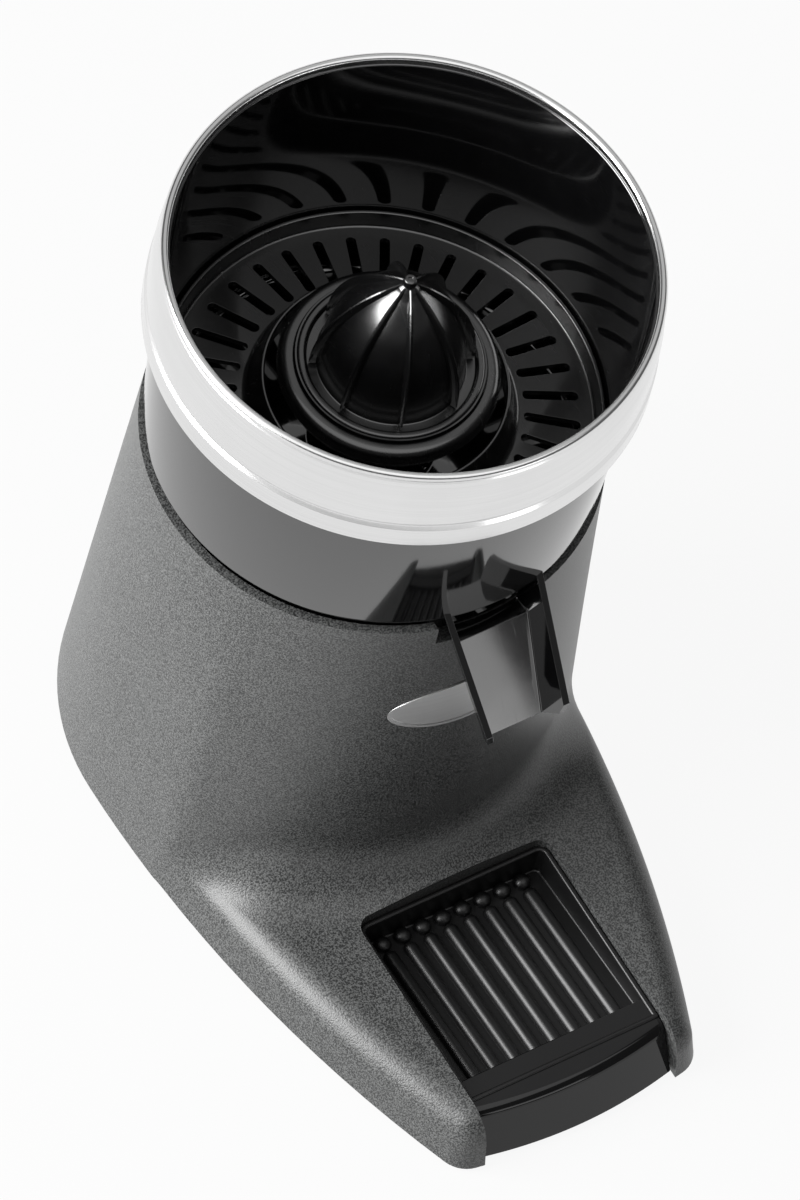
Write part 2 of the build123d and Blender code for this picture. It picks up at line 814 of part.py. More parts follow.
# Strainer: a lipped plate that rises to a collar, with radial slots
strainer_radius = ledge_radius - lift_gap
plate_edge = strainer_radius - strainer_lip_wall
plate_high_z = ledge_height + strainer_slope_rise
with BuildPart() as strainer:
    with BuildSketch(Plane.XZ):
        with BuildLine():
            Polyline(
                (strainer_radius, ledge_height),
                (strainer_radius, strainer_lip),
                (plate_edge, strainer_lip),
                (plate_edge - strainer_lip_wall, ledge_height + strainer_plate),
                (collar_base, plate_high_z + strainer_plate),
                (collar_radius, collar_top),
                (collar_radius - collar_wall, collar_top),
                (collar_base - collar_wall * 2, plate_high_z),
                (cup_inner - lift_gap, ledge_height),
                close=True,
            )
        make_face()
    revolve(axis=Axis.Z)
    with BuildSketch(Plane.XY.offset(ledge_height)):
        with PolarLocations((slot_inner + slot_outer) / 2, slot_count, start_angle=slot_turn):
            SlotOverall(slot_outer - slot_inner, slot_width)
    extrude(amount=collar_top - ledge_height, mode=Mode.SUBTRACT)
strainer.part.label = "strainer"
export_step(strainer.part, "parts/strainer.step")

# Reamer cone: a hollow ribbed dome on a flange, with a hub that drops over the shaft and its pin.
# The dome is an arc whose centre lies across the axis, level with the base of the cone.
dome_centre = dome_base_radius - dome_radius
dome_inner = dome_radius - cone_wall
dome_sweep = degrees(acos((cone_neck_radius - dome_centre) / dome_radius))
dome_inner_sweep = degrees(acos((cone_hub_radius - dome_centre) / dome_inner))
cone_neck = cone_base + dome_radius * sin(radians(dome_sweep))
dome_inner_top = cone_base + dome_inner * sin(radians(dome_inner_sweep))
rib_radii = (dome_radius - cone_rib_root, dome_radius + cone_rib_height)
cone_groove = flange_valley + flange_bead_half
rib_middles = [
    (dome_centre + reach * cos(radians(dome_sweep / 2)), cone_base + reach * sin(radians(dome_sweep / 2)))
    for reach in rib_radii
]

with BuildPart() as cone_rib:
    with BuildSketch(Plane.XZ):
        with BuildLine():
            rib_crest = ThreePointArc(
                (cone_base_radius, cone_groove),
                rib_middles[1],
                (cone_neck_radius, cone_neck + cone_rib_height / 2),
            )
            rib_root = ThreePointArc(
                (cone_neck_radius - cone_rib_root, cone_neck - cone_wall),
                rib_middles[0],
                (dome_base_radius - cone_rib_root, cone_groove),
            )
            Line(rib_crest @ 1, rib_root @ 0)
            Line(rib_root @ 1, rib_crest @ 0)
        make_face()
    extrude(amount=cone_rib_width / 2, both=True)

with BuildPart() as reamer_cone:
    with BuildSketch(Plane.XZ):
        with BuildLine():
            Polyline(
                (0, cone_hub_roof),
                (bore_radius, cone_hub_roof),
                (bore_radius, cone_seat),
                (cone_hub_radius, cone_seat),
                (cone_hub_radius, cone_hub_roof),
            )
            Line((cone_hub_radius, cone_hub_roof), (cone_hub_radius, dome_inner_top))
            CenterArc((dome_centre, cone_base), dome_inner, 0, dome_inner_sweep)
            Polyline(
                (dome_base_radius - cone_wall, cone_base),
                (dome_base_radius - cone_wall, flange_under),
                (flange_radius - flange_skirt_wall * 2, flange_under),
                (flange_radius - flange_skirt_wall * 2, flange_skirt),
                (flange_radius - flange_skirt_wall, flange_skirt),
                (flange_radius, flange_under),
                (flange_radius, flange_valley),
                (flange_radius - flange_skirt_wall / 2, flange_top),
                (flange_radius - flange_skirt_wall, flange_top),
                (flange_bead_radius + flange_bead_half * 2, flange_valley),
                (flange_bead_radius + flange_bead_half, flange_valley),
            )
            ThreePointArc(
                (flange_bead_radius + flange_bead_half, flange_valley),
                (flange_bead_radius, flange_bead_top),
                (flange_bead_radius - flange_bead_half, cone_groove),
            )
            Polyline(
                (flange_bead_radius - flange_bead_half, cone_groove),
                (dome_base_radius, cone_groove),
                (dome_base_radius, cone_base),
            )
            CenterArc((dome_centre, cone_base), dome_radius, 0, dome_sweep)
            ThreePointArc(
                (cone_neck_radius, cone_neck),
                (cone_neck_radius * cone_tip_share, cone_neck + (cone_tip - cone_neck) * cone_tip_share),
                (0, cone_tip),
            )
            Line((0, cone_tip), (0, cone_hub_roof))
        make_face()
    revolve(axis=Axis.Z)
    with PolarLocations(0, cone_rib_count, start_angle=cone_rib_turn):
        add(cone_rib.part)
    with BuildSketch(Plane.XY.offset(cone_seat)):
        Rectangle(pin_slot * 2, slot_half * 2)
    extrude(amount=pin_height + slot_half - cone_seat, mode=Mode.SUBTRACT)
reamer_cone.part.label = "reamer_cone"
export_step(reamer_cone.part, "parts/reamer_cone.step")

# Drip shield: a skirted disc on the shaft that keeps juice out of the chimney. A keyway lets it pass the pin.
with BuildPart() as drip_shield:
    with BuildSketch(Plane.XZ):
        with BuildLine():
            Polyline(
                (bore_radius, shaft_shoulder),
                (shield_hub_radius, shaft_shoulder),
                (shield_hub_radius, shield_disc_under),
                (shield_radius - shield_disc, shield_disc_under),
                (shield_radius - shield_disc, shield_skirt),
                (shield_radius, shield_skirt),
                (shield_radius, shield_disc_under + shield_disc),
                (shield_hub_radius, shield_disc_under + shield_disc),
                (shield_hub_radius, cone_seat),
                (bore_radius, cone_seat),
                close=True,
            )
        make_face()
    revolve(axis=Axis.Z)
    with BuildSketch(Plane.XY.offset(shaft_shoulder)):
        Rectangle(pin_slot * 2, slot_half * 2)
    extrude(amount=cone_seat - shaft_shoulder, mode=Mode.SUBTRACT)
drip_shield.part.label = "drip_shield"
export_step(drip_shield.part, "parts/drip_shield.step")

# Motor: shaft with its pin, rotor, stator and windings
with BuildPart() as motor_shaft:
    with BuildSketch(Plane.XZ):
        with BuildLine():
            Polyline(
                (0, shaft_bottom),
                (shaft_fan_radius, shaft_bottom),
                (shaft_fan_radius, fan_high),
                (shaft_radius, fan_high),
                (shaft_radius, lower_bearing_high),
                (shaft_core_radius - run_gap * 2, lower_bearing_high),
                (shaft_core_radius - run_gap * 2, upper_bearing_low),
                (shaft_radius, upper_bearing_low),
                (shaft_radius, shaft_shoulder),
                (shaft_end_radius, shaft_shoulder),
                (shaft_end_radius, shaft_top - shaft_chamfer),
                (shaft_end_radius - shaft_chamfer, shaft_top),
                (0, shaft_top),
                close=True,
            )
        make_face()
    revolve(axis=Axis.Z)
    with BuildSketch(Plane.YZ):
        with Locations((0, pin_height)):
            Circle(pin_radius)
    extrude(amount=shaft_radius, both=True, mode=Mode.SUBTRACT)
motor_shaft.part.label = "motor_shaft"
export_step(motor_shaft.part, "parts/motor_shaft.step")

with BuildPart() as drive_pin:
    with BuildSketch(Plane.YZ):
        with Locations((0, pin_height)):
            Circle(pin_radius)
    extrude(amount=pin_half, both=True)
drive_pin.part.label = "drive_pin"
export_step(drive_pin.part, "parts/drive_pin.step")

with BuildPart() as rotor_core:
    with BuildSketch(Plane.XY.offset(stator_low)):
        Circle(rotor_radius)
        Circle(shaft_core_radius - run_gap * 2, mode=Mode.SUBTRACT)
    extrude(amount=stator_high - stator_low)
rotor_core.part.label = "rotor_core"
export_step(rotor_core.part, "parts/rotor_core.step")

with BuildPart() as stator_core:
    with BuildSketch(Plane.XY.offset(stator_low)):
        Circle(stator_radius)
        Circle(rotor_radius + air_gap, mode=Mode.SUBTRACT)
        with PolarLocations((stator_slot_inner + stator_slot_outer) / 2, stator_slots):
            Rectangle(stator_slot_outer - stator_slot_inner, stator_slot_width, mode=Mode.SUBTRACT)
        with PolarLocations(tie_circle, tie_count, start_angle=45):
            Circle(tie_radius + screw_gap, mode=Mode.SUBTRACT)
    extrude(amount=stator_high - stator_low)
stator_core.part.label = "stator_core"
export_step(stator_core.part, "parts/stator_core.step")

with BuildPart() as stator_windings:
    with BuildSketch(Plane.XZ):
        for centre in (stator_low - winding_height / 2, stator_high + winding_height / 2):
            with Locations(((winding_inner + winding_outer) / 2, centre)):
                RectangleRounded(winding_outer - winding_inner, winding_height, winding_round)
    revolve(axis=Axis.Z)
    with BuildSketch(Plane.XY.offset(stator_low - winding_round)):
        with PolarLocations((stator_slot_inner + stator_slot_outer) / 2, stator_slots):
            Rectangle(
                stator_slot_outer - stator_slot_inner - winding_gap * 2,
                stator_slot_width - winding_gap * 2,
            )
    extrude(amount=stator_high - stator_low + winding_round * 2)
stator_windings.part.label = "stator_windings"
export_step(stator_windings.part, "parts/stator_windings.step")

# End shields: a cup at each end of the stator, with a hub that holds the bearing
with BuildPart() as upper_end_shield:
    with BuildSketch(Plane.XY.offset(stator_high)):
        Circle(stator_radius)
    extrude(amount=motor_shield_height)
    with BuildSketch(Plane.XY.offset(stator_high)):
        Circle(motor_shield_cavity)
    extrude(amount=motor_shield_height - shield_disc_wall, mode=Mode.SUBTRACT)
    with BuildSketch(Plane.XY.offset(deck_under)):
        Circle(motor_hub_radius)
    extrude(amount=-motor_hub_height)
    with BuildSketch(Plane.XY.offset(upper_bearing_high)):
        Circle(bearing_radius)
    extrude(amount=-motor_hub_height, mode=Mode.SUBTRACT)
    with BuildSketch(Plane.XY.offset(deck_under)):
        Circle(shaft_radius + shaft_clear)
        with PolarLocations(motor_screw_circle, tie_count):
            Circle(motor_screw_radius)
    extrude(amount=-motor_screw_depth, mode=Mode.SUBTRACT)
    with BuildSketch(Plane.XY.offset(stator_high)):
        with PolarLocations(tie_circle, tie_count, start_angle=45):
            Circle(tie_radius)
    extrude(amount=tie_end - stator_high, mode=Mode.SUBTRACT)
upper_end_shield.part.label = "upper_end_shield"
export_step(upper_end_shield.part, "parts/upper_end_shield.step")

with BuildPart() as lower_end_shield:
    with BuildSketch(Plane.XY.offset(motor_bottom)):
        Circle(stator_radius)
    extrude(amount=motor_shield_height)
    with BuildSketch(Plane.XY.offset(stator_low)):
        Circle(motor_shield_cavity)
    extrude(amount=shield_disc_wall - motor_shield_height, mode=Mode.SUBTRACT)
    with BuildSketch(Plane.XY.offset(motor_bottom)):
        Circle(motor_hub_radius)
    extrude(amount=motor_hub_height)
    with BuildSketch(Plane.XY.offset(lower_bearing_low)):
        Circle(bearing_radius)
    extrude(amount=motor_hub_height, mode=Mode.SUBTRACT)
    with BuildSketch(Plane.XY.offset(motor_bottom)):
        Circle(shaft_radius + shaft_clear)
        with PolarLocations(tie_circle, tie_count, start_angle=45):
            Circle(tie_radius + screw_gap)
    extrude(amount=motor_shield_height, mode=Mode.SUBTRACT)
lower_end_shield.part.label = "lower_end_shield"
export_step(lower_end_shield.part, "parts/lower_end_shield.step")

with BuildPart() as bearing_outer_rings:
    for low in bearing_lows:
        with BuildSketch(Plane.XY.offset(low)):
            Circle(bearing_radius)
            Circle(shaft_radius + bearing_ring + seal_gap, mode=Mode.SUBTRACT)
        extrude(amount=bearing_width)
        with BuildSketch(Plane.XY.offset(low + bearing_shield)):
            Circle(bearing_radius - bearing_ring)
        extrude(amount=bearing_width - bearing_shield * 2, mode=Mode.SUBTRACT)
bearing_outer_rings.part.label = "bearing_outer_rings"
export_step(bearing_outer_rings.part, "parts/bearing_outer_rings.step")

with BuildPart() as bearing_inner_rings:
    for low in bearing_lows:
        with BuildSketch(Plane.XY.offset(low)):
            Circle(shaft_radius + bearing_ring)
            Circle(shaft_radius, mode=Mode.SUBTRACT)
        extrude(amount=bearing_width)
bearing_inner_rings.part.label = "bearing_inner_rings"
export_step(bearing_inner_rings.part, "parts/bearing_inner_rings.step")

with BuildPart() as motor_tie_bolts:
    with BuildSketch(Plane.XY.offset(motor_bottom)):
        with PolarLocations(tie_circle, tie_count, start_angle=45):
            Circle(tie_radius)
    extrude(amount=tie_end - motor_bottom)
    with BuildSketch(Plane.XY.offset(motor_bottom)):
        with PolarLocations(tie_circle, tie_count, start_angle=45):
            RegularPolygon(tie_head_radius, 6)
    extrude(amount=-tie_head)
motor_tie_bolts.part.label = "motor_tie_bolts"
export_step(motor_tie_bolts.part, "parts/motor_tie_bolts.step")

with BuildPart() as motor_screws:
    with BuildSketch(Plane.XY.offset(deck_top - motor_screw_head)):
        with PolarLocations(motor_screw_circle, tie_count):
            Circle(motor_screw_head_radius)
    extrude(amount=motor_screw_head)
    with BuildSketch(Plane.XY.offset(deck_top - motor_screw_head)):
        with PolarLocations(motor_screw_circle, tie_count):
            Circle(motor_screw_radius)
    extrude(amount=deck_under - motor_screw_depth - deck_top + motor_screw_head)
motor_screws.part.label = "motor_screws"
export_step(motor_screws.part, "parts/motor_screws.step")

with BuildPart() as shaft_seal:
    with BuildSketch(Plane.XY.offset(boss_top - seal_height)):
        Circle(seal_radius)
        Circle(shaft_radius + seal_gap, mode=Mode.SUBTRACT)
    extrude(amount=seal_height)
shaft_seal.part.label = "shaft_seal"
export_step(shaft_seal.part, "parts/shaft_seal.step")

with BuildPart() as cooling_fan:
    with BuildSketch(Plane.XY.offset(fan_low)):
        Circle(fan_hub_radius)
        with PolarLocations(fan_radius / 2, fan_blades):
            Rectangle(fan_radius - fan_disc, fan_blade)
    extrude(amount=fan_high - fan_low)
    with BuildSketch(Plane.XY.offset(fan_high - fan_disc)):
        Circle(fan_radius)
    extrude(amount=fan_disc)
    with BuildSketch(Plane.XY.offset(fan_low)):
        Circle(shaft_fan_radius)
    extrude(amount=fan_high - fan_low, mode=Mode.SUBTRACT)
cooling_fan.part.label = "cooling_fan"
export_step(cooling_fan.part, "parts/cooling_fan.step")

# Capacitor lying on the base plate under its clip
capacitor_axis = base_plate_high + capacitor_radius
with BuildPart() as capacitor:
    with BuildSketch(Plane.YZ.offset(-capacitor_half)):
        with Locations((capacitor_y, capacitor_axis)):
            Circle(capacitor_radius)
    extrude(amount=capacitor_half * 2)
    with BuildSketch(Plane.YZ.offset(capacitor_half)):
        with Locations((capacitor_y, capacitor_axis)):
            Circle(capacitor_cap_radius)
    extrude(amount=capacitor_cap)
    with BuildSketch(Plane.YZ.offset(capacitor_half + capacitor_cap)):
        with Locations((capacitor_y, capacitor_axis)):
            with GridLocations(tag_spacing, 0, 2, 1):
                Rectangle(tag_sheet, tag_width)
    extrude(amount=tag_height)
capacitor.part.label = "capacitor"
export_step(capacitor.part, "parts/capacitor.step")

with BuildPart() as capacitor_clip:
    with BuildSketch(Plane.YZ.offset(-clip_width / 2)):
        with Locations((capacitor_y, capacitor_axis)):
            Circle(capacitor_radius + clip_sheet)
        with Locations((capacitor_y, base_plate_high)):
            Rectangle(
                (capacitor_radius + clip_sheet) * 2,
                capacitor_radius,
                align=(Align.CENTER, Align.MIN),
            )
            Rectangle(
                (capacitor_radius + clip_foot) * 2,
                clip_sheet,
                align=(Align.CENTER, Align.MIN),
            )
            Rectangle(
                capacitor_radius * 2,
                capacitor_radius,
                align=(Align.CENTER, Align.MIN),
                mode=Mode.SUBTRACT,
            )
            Rectangle(half_width, capacitor_radius, align=(Align.CENTER, Align.MAX), mode=Mode.SUBTRACT)
        with Locations((capacitor_y, capacitor_axis)):
            Circle(capacitor_radius, mode=Mode.SUBTRACT)
    extrude(amount=clip_width)
capacitor_clip.part.label = "capacitor_clip"
export_step(capacitor_clip.part, "parts/capacitor_clip.step")

with BuildPart() as terminal_block:
    with BuildSketch(Plane.XY.offset(base_plate_high)):
        with Locations((-terminal_x, -terminal_y)):
            Rectangle(terminal_depth, terminal_length)
    extrude(amount=terminal_height)
    with BuildSketch(Plane.XY.offset(base_plate_high + terminal_height)):
        with Locations((-terminal_x, -terminal_y)):
            with GridLocations(0, terminal_length / terminal_wells, 1, terminal_wells):
                Circle(terminal_well_radius)
    extrude(amount=-terminal_well_depth, mode=Mode.SUBTRACT)
terminal_block.part.label = "terminal_block"
export_step(terminal_block.part, "parts/terminal_block.step")

# Switch: a boxed housing with a bezel on the flat of the body, and a rocker on a cross axle
rocker_pivot = switch_flat + switch_bezel - rocker_pivot_depth
rocker_half = switch_body_width / 2 - switch_wall - rocker_gap
with BuildPart() as switch_housing:
    with BuildSketch(Plane.YZ.offset(switch_flat)):
        with Locations((0, switch_height)):
            RectangleRounded(switch_bezel_width, switch_bezel_length, switch_bezel)
    extrude(amount=switch_bezel)
    with BuildSketch(Plane.YZ.offset(switch_flat)):
        with Locations((0, switch_height)):
            Rectangle(switch_body_width - switch_fit * 2, switch_body_length - switch_fit * 2)
    extrude(amount=-switch_body_depth)
    with BuildSketch(Plane.YZ.offset(switch_flat + switch_bezel)):
        with Locations((0, switch_height)):
            Rectangle(switch_body_width - switch_wall * 2, switch_body_length - switch_wall * 2)
    extrude(amount=switch_wall - switch_body_depth - switch_bezel, mode=Mode.SUBTRACT)
    with BuildSketch(Plane.XZ):
        with Locations((rocker_pivot, switch_height)):
            Circle(rocker_pin_radius + seal_gap)
    extrude(amount=switch_body_width, both=True, mode=Mode.SUBTRACT)
switch_housing.part.label = "switch_housing"
export_step(switch_housing.part, "parts/switch_housing.step")

rocker_plane = Plane(
    origin=(rocker_pivot, 0, switch_height),
    x_dir=(cos(radians(rocker_tilt)), 0, sin(radians(rocker_tilt))),
    z_dir=(0, -1, 0),
)
with BuildPart() as switch_rocker:
    with BuildSketch(rocker_plane):
        with BuildLine():
            Polyline(
                (-rocker_root, 0),
                (rocker_side, -rocker_reach),
                (rocker_face, -rocker_reach),
                (rocker_face - rocker_dip, 0),
                (rocker_face, rocker_reach),
                (rocker_side, rocker_reach),
                close=True,
            )
        make_face()
    extrude(amount=rocker_half, both=True)
    with BuildSketch(rocker_plane):
        Circle(rocker_pin_radius)
    extrude(amount=switch_body_width / 2 - switch_fit * 2, both=True)
switch_rocker.part.label = "switch_rocker"
export_step(switch_rocker.part, "parts/switch_rocker.step")

# Cable gland at the rear
with BuildPart() as cable_gland:
    with BuildSketch(Plane.XZ.offset(-gland_flat)):
        with Locations((0, gland_height)):
            Circle(gland_flange_radius)
    extrude(amount=-gland_flange)
    with BuildSketch(Plane.XZ.offset(-gland_flat - gland_flange)):
        with Locations((0, gland_height)):
            Circle(gland_nose_radius)
    extrude(amount=-gland_nose)
    with BuildSketch(Plane.XZ.offset(-gland_flat)):
        with Locations((0, gland_height)):
            Circle(gland_thread_radius)
    extrude(amount=gland_tail)
    with BuildSketch(Plane.XZ.offset(gland_tail - gland_flat)):
        with Locations((0, gland_height)):
            Circle(gland_bore)
    extrude(amount=-gland_tail - gland_flange - gland_nose, mode=Mode.SUBTRACT)
cable_gland.part.label = "cable_gland"
export_step(cable_gland.part, "parts/cable_gland.step")
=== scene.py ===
# %% [markdown]
# # A motor-driven citrus juicer
# The juicer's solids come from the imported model: a cast body, a bowl, a strainer, a reamer, a drip tray and the
# motor inside. This lesson dresses them. Pieces that show curves up close are modelled again with more steps, and
# every finish is made from nodes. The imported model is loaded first, because all pieces are placed by it.

import json
import math

import bpy
from mathutils import Matrix, Vector


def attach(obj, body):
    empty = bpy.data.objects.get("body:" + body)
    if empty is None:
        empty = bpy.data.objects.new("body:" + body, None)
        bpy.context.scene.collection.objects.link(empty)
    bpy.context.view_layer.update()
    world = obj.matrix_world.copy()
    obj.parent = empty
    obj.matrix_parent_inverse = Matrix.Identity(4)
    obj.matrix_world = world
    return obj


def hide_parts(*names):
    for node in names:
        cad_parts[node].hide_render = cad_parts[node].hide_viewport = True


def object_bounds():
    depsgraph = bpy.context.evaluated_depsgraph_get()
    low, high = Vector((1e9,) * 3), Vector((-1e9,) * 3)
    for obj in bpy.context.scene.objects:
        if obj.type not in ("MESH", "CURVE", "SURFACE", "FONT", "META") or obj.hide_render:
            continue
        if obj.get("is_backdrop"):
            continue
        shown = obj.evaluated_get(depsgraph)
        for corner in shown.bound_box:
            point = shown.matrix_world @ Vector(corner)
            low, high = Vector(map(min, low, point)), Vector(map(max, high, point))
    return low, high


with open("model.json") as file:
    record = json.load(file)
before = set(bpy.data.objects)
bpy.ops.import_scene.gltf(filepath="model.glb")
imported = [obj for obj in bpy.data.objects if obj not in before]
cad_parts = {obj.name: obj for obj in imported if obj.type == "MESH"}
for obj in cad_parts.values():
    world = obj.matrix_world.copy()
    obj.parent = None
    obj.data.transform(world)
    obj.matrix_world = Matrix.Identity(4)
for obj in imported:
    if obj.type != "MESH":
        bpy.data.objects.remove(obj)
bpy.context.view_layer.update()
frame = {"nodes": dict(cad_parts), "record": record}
mm = 0.001

# %% [markdown]
# ## A bench for finishes
# A finish is a node tree. Wiring each node by hand hides the idea, so a small class wraps one output socket and
# lets it be used in a sum or a product. Each sign then adds one Math node.


# %% Wires
class Wire:
    """One output of a finish's node tree, with arithmetic that adds Math nodes."""

    def __init__(self, finish, socket):
        self.finish = finish
        self.socket = socket

    def maths(self, operation, first, second):
        return self.finish.node("ShaderNodeMath", {"operation": operation}, {0: first, 1: second})

    def __add__(self, other):
        return self.maths("ADD", self, other)

    def __radd__(self, other):
        return self.maths("ADD", other, self)

    def __mul__(self, other):
        return self.maths("MULTIPLY", self, other)

    def __rmul__(self, other):
        return self.maths("MULTIPLY", other, self)


# %% [markdown]
# A second class holds the material. Its one method for nodes takes the node's type, then its settings, then its
# sockets. The short methods after it say in one word what a recipe needs, and the last one feeds the shader.


# %% Finishes
class Finish:
    """A material with a Principled shader, built node by node."""

    def __init__(self, name, **plain):
        self.material = bpy.data.materials.new(name)
        self.material.use_nodes = True
        self.tree = self.material.node_tree
        self.shader = self.tree.nodes["Principled BSDF"]
        for socket, value in plain.items():
            self.shader.inputs[socket.replace("_", " ")].default_value = value

    def node(self, kind, settings=None, sockets=None, output=0):
        made = self.tree.nodes.new(kind)
        for name, value in (settings or {}).items():
            if name == "stops":
                for element, (place, shade) in zip(made.color_ramp.elements, value):
                    element.position = place
                    element.color = (shade, shade, shade, 1)
            else:
                setattr(made, name, value)
        for name, value in (sockets or {}).items():
            if isinstance(value, Wire):
                self.tree.links.new(value.socket, made.inputs[name])
            else:
                made.inputs[name].default_value = value
        return Wire(self, made.outputs[output])

    def place(self, scale=(1, 1, 1)):
        point = self.node("ShaderNodeTexCoord", output="Object")
        return self.node("ShaderNodeMapping", {}, {"Vector": point, "Scale": scale})

    def noise(self, point, scale, detail, roughness=0.5):
        return self.node("ShaderNodeTexNoise", {}, {
            "Vector": point, "Scale": scale, "Detail": detail, "Roughness": roughness})

    def ramp(self, value, *stops):
        return self.node("ShaderNodeValToRGB", {"stops": stops}, {0: value})

    def blend(self, factor, first, second):
        return self.node("ShaderNodeMix", {"data_type": "RGBA"}, {
            0: factor, 6: (*first, 1), 7: (*second, 1)}, output=2)

    def bump(self, height, depth, strength):
        return self.node("ShaderNodeBump", {}, {
            "Height": height, "Distance": depth, "Strength": strength})

    def feed(self, **links):
        for socket, wire in links.items():
            self.tree.links.new(wire.socket, self.shader.inputs[socket.replace("_", " ")])
        return self.material


# %% [markdown]
# ## Grained paint on the casting
# The body is a metal casting under a grey paint with a fine grain, which keeps fingerprints off. Two sizes of noise
# make it: a fine one for the grain, which also lifts the surface a little, and a broad one for faint clouds.


# %% Grained paint
def grained_paint():
    paint = Finish("grained_grey_paint", IOR=1.5)
    point = paint.place()
    grain = paint.noise(point, scale=1400, detail=0.5)
    clouds = paint.noise(point, scale=22, detail=3.0)
    speck = paint.ramp(grain, (0.36, 0.0), (0.66, 1.0))
    hollow, peak = (0.012, 0.0125, 0.0125), (0.096, 0.098, 0.097)
    colour = paint.blend(speck * 0.85 + clouds * 0.15, hollow, peak)
    rough = 0.34 + speck * 0.1
    relief = paint.bump(grain, depth=0.2 * mm, strength=0.6)
    return paint.feed(Base_Color=colour, Roughness=rough, Normal=relief)


finishes = {"body_paint": grained_paint()}

# %% [markdown]
# ## Four kinds of black
# Bowl, strainer, reamer and tray are moulded in black, with a slow waviness from the mould and hair-thin wiping marks
# that only show in the gloss. One recipe takes its roughness as a range and how strongly it mirrors as an index of
# refraction. The bowl is polished, strainer and reamer are worn dull by fruit, the inside of the tray is satin, and
# the tray's front plate is smooth but mirrors less.


# %% Moulded blacks
def moulded_black(name, low, high, index):
    black = Finish(name, IOR=index)
    point = black.place()
    wave = black.noise(point, scale=34, detail=1.0)
    marks = black.noise(black.place((900, 60, 60)), scale=1.0, detail=3.0)
    smear = black.noise(point, scale=60, detail=4.0, roughness=0.6)
    colour = black.blend(smear, (0.0012, 0.0012, 0.0013), (0.0035, 0.0035, 0.0037))
    rough = low + smear * (high - low) + black.ramp(marks, (0.62, 0.0), (0.74, 1.0)) * 0.04
    relief = black.bump(wave, depth=0.25 * mm, strength=0.12)
    return black.feed(Base_Color=colour, Roughness=rough, Normal=relief)


finishes["black_gloss"] = moulded_black("polished_black", low=0.03, high=0.08, index=1.95)
finishes["black_worn"] = moulded_black("worn_black", low=0.2, high=0.3, index=1.95)
finishes["black_satin"] = moulded_black("satin_black", low=0.34, high=0.46, index=1.5)
finishes["black_plate"] = moulded_black("plain_black", low=0.04, high=0.1, index=1.47)

# %% [markdown]
# ## Satin metals
# The splash ring is spun from stainless sheet, so its brushing runs round it. Noise that is stretched level and
# packed tight in height gives such lines on any turned piece. The other metals use the same recipe, each with its
# dark and bright colour, its lowest and highest roughness, and the lines in a metre of height.


# %% Satin metals
def satin_steel(name, dark, bright, low, high, lines):
    steel = Finish(name, Metallic=1.0)
    point = steel.place((6, 6, lines))
    brushing = steel.noise(point, scale=1.0, detail=3.0, roughness=0.6)
    clouds = steel.noise(steel.place(), scale=30, detail=2.0)
    colour = steel.blend(brushing * 0.7 + clouds * 0.3, dark, bright)
    rough = low + brushing * (high - low)
    relief = steel.bump(brushing, depth=0.03 * mm, strength=0.3)
    return steel.feed(Base_Color=colour, Roughness=rough, Normal=relief)


for slot, *recipe in (
    ("ring_steel", "spun_stainless", (0.64, 0.64, 0.64), (0.84, 0.84, 0.84), 0.12, 0.26, 2600),
    ("plate_bare", "brushed_oval_plate", (0.5, 0.5, 0.5), (0.68, 0.68, 0.68), 0.34, 0.46, 1500),
    ("sheet_steel", "plain_sheet_steel", (0.4, 0.41, 0.42), (0.56, 0.57, 0.58), 0.28, 0.42, 900),
    ("screw_steel", "bright_screw_steel", (0.5, 0.51, 0.52), (0.68, 0.69, 0.7), 0.18, 0.32, 3000),
    ("shaft_steel", "ground_shaft_steel", (0.52, 0.53, 0.54), (0.7, 0.71, 0.72), 0.14, 0.26, 3600),
    ("bearing_steel", "ground_bearing_steel", (0.5, 0.5, 0.51), (0.66, 0.66, 0.67), 0.12, 0.22, 4000),
    ("cast_alloy", "plain_cast_alloy", (0.45, 0.46, 0.46), (0.62, 0.63, 0.63), 0.35, 0.55, 120),
    ("core_iron", "stacked_iron_sheets", (0.14, 0.14, 0.15), (0.3, 0.3, 0.31), 0.4, 0.55, 2000),
    ("copper_wire", "enamelled_copper", (0.5, 0.2, 0.08), (0.75, 0.36, 0.16), 0.25, 0.4, 1800),
):
    finishes[slot] = satin_steel(*recipe)

# %% [markdown]
# ## Rubber and moulded plastics
# Feet, seal, fan, gland and switch are dull beside the bowl. A fine noise roughens them and lightens the high
# spots, as handling does. All finishes are then given to the loaded pieces by the slot that each piece names.


# %% Dull finishes
def dull(name, low_colour, high_colour, low, high, scale, depth):
    matt = Finish(name, Specular_IOR_Level=0.35)
    point = matt.place()
    pits = matt.noise(point, scale, detail=3.0, roughness=0.6)
    worn = matt.noise(point, scale=40, detail=2.0)
    colour = matt.blend(pits * 0.6 + worn * 0.4, low_colour, high_colour)
    rough = low + pits * (high - low)
    relief = matt.bump(pits, depth, strength=0.4)
    return matt.feed(Base_Color=colour, Roughness=rough, Normal=relief)


for slot, *recipe in (
    ("black_rubber", "foot_rubber", (0.012, 0.012, 0.012), (0.03, 0.03, 0.03), 0.6, 0.85, 900, 0.2 * mm),
    ("black_plastic", "moulded_black", (0.014, 0.014, 0.014), (0.035, 0.035, 0.035), 0.35, 0.55, 1600, 0.1 * mm),
    ("pale_plastic", "moulded_pale", (0.6, 0.59, 0.55), (0.78, 0.77, 0.73), 0.35, 0.5, 1400, 0.08 * mm),
):
    finishes[slot] = dull(*recipe)

slot_of = {part["node"]: part["material_slot"] for part in frame["record"]["subparts"]}
for node, slot in slot_of.items():
    for holder in frame["nodes"][node].material_slots:
        holder.material = finishes[slot]
print("finishes", sorted(finishes))

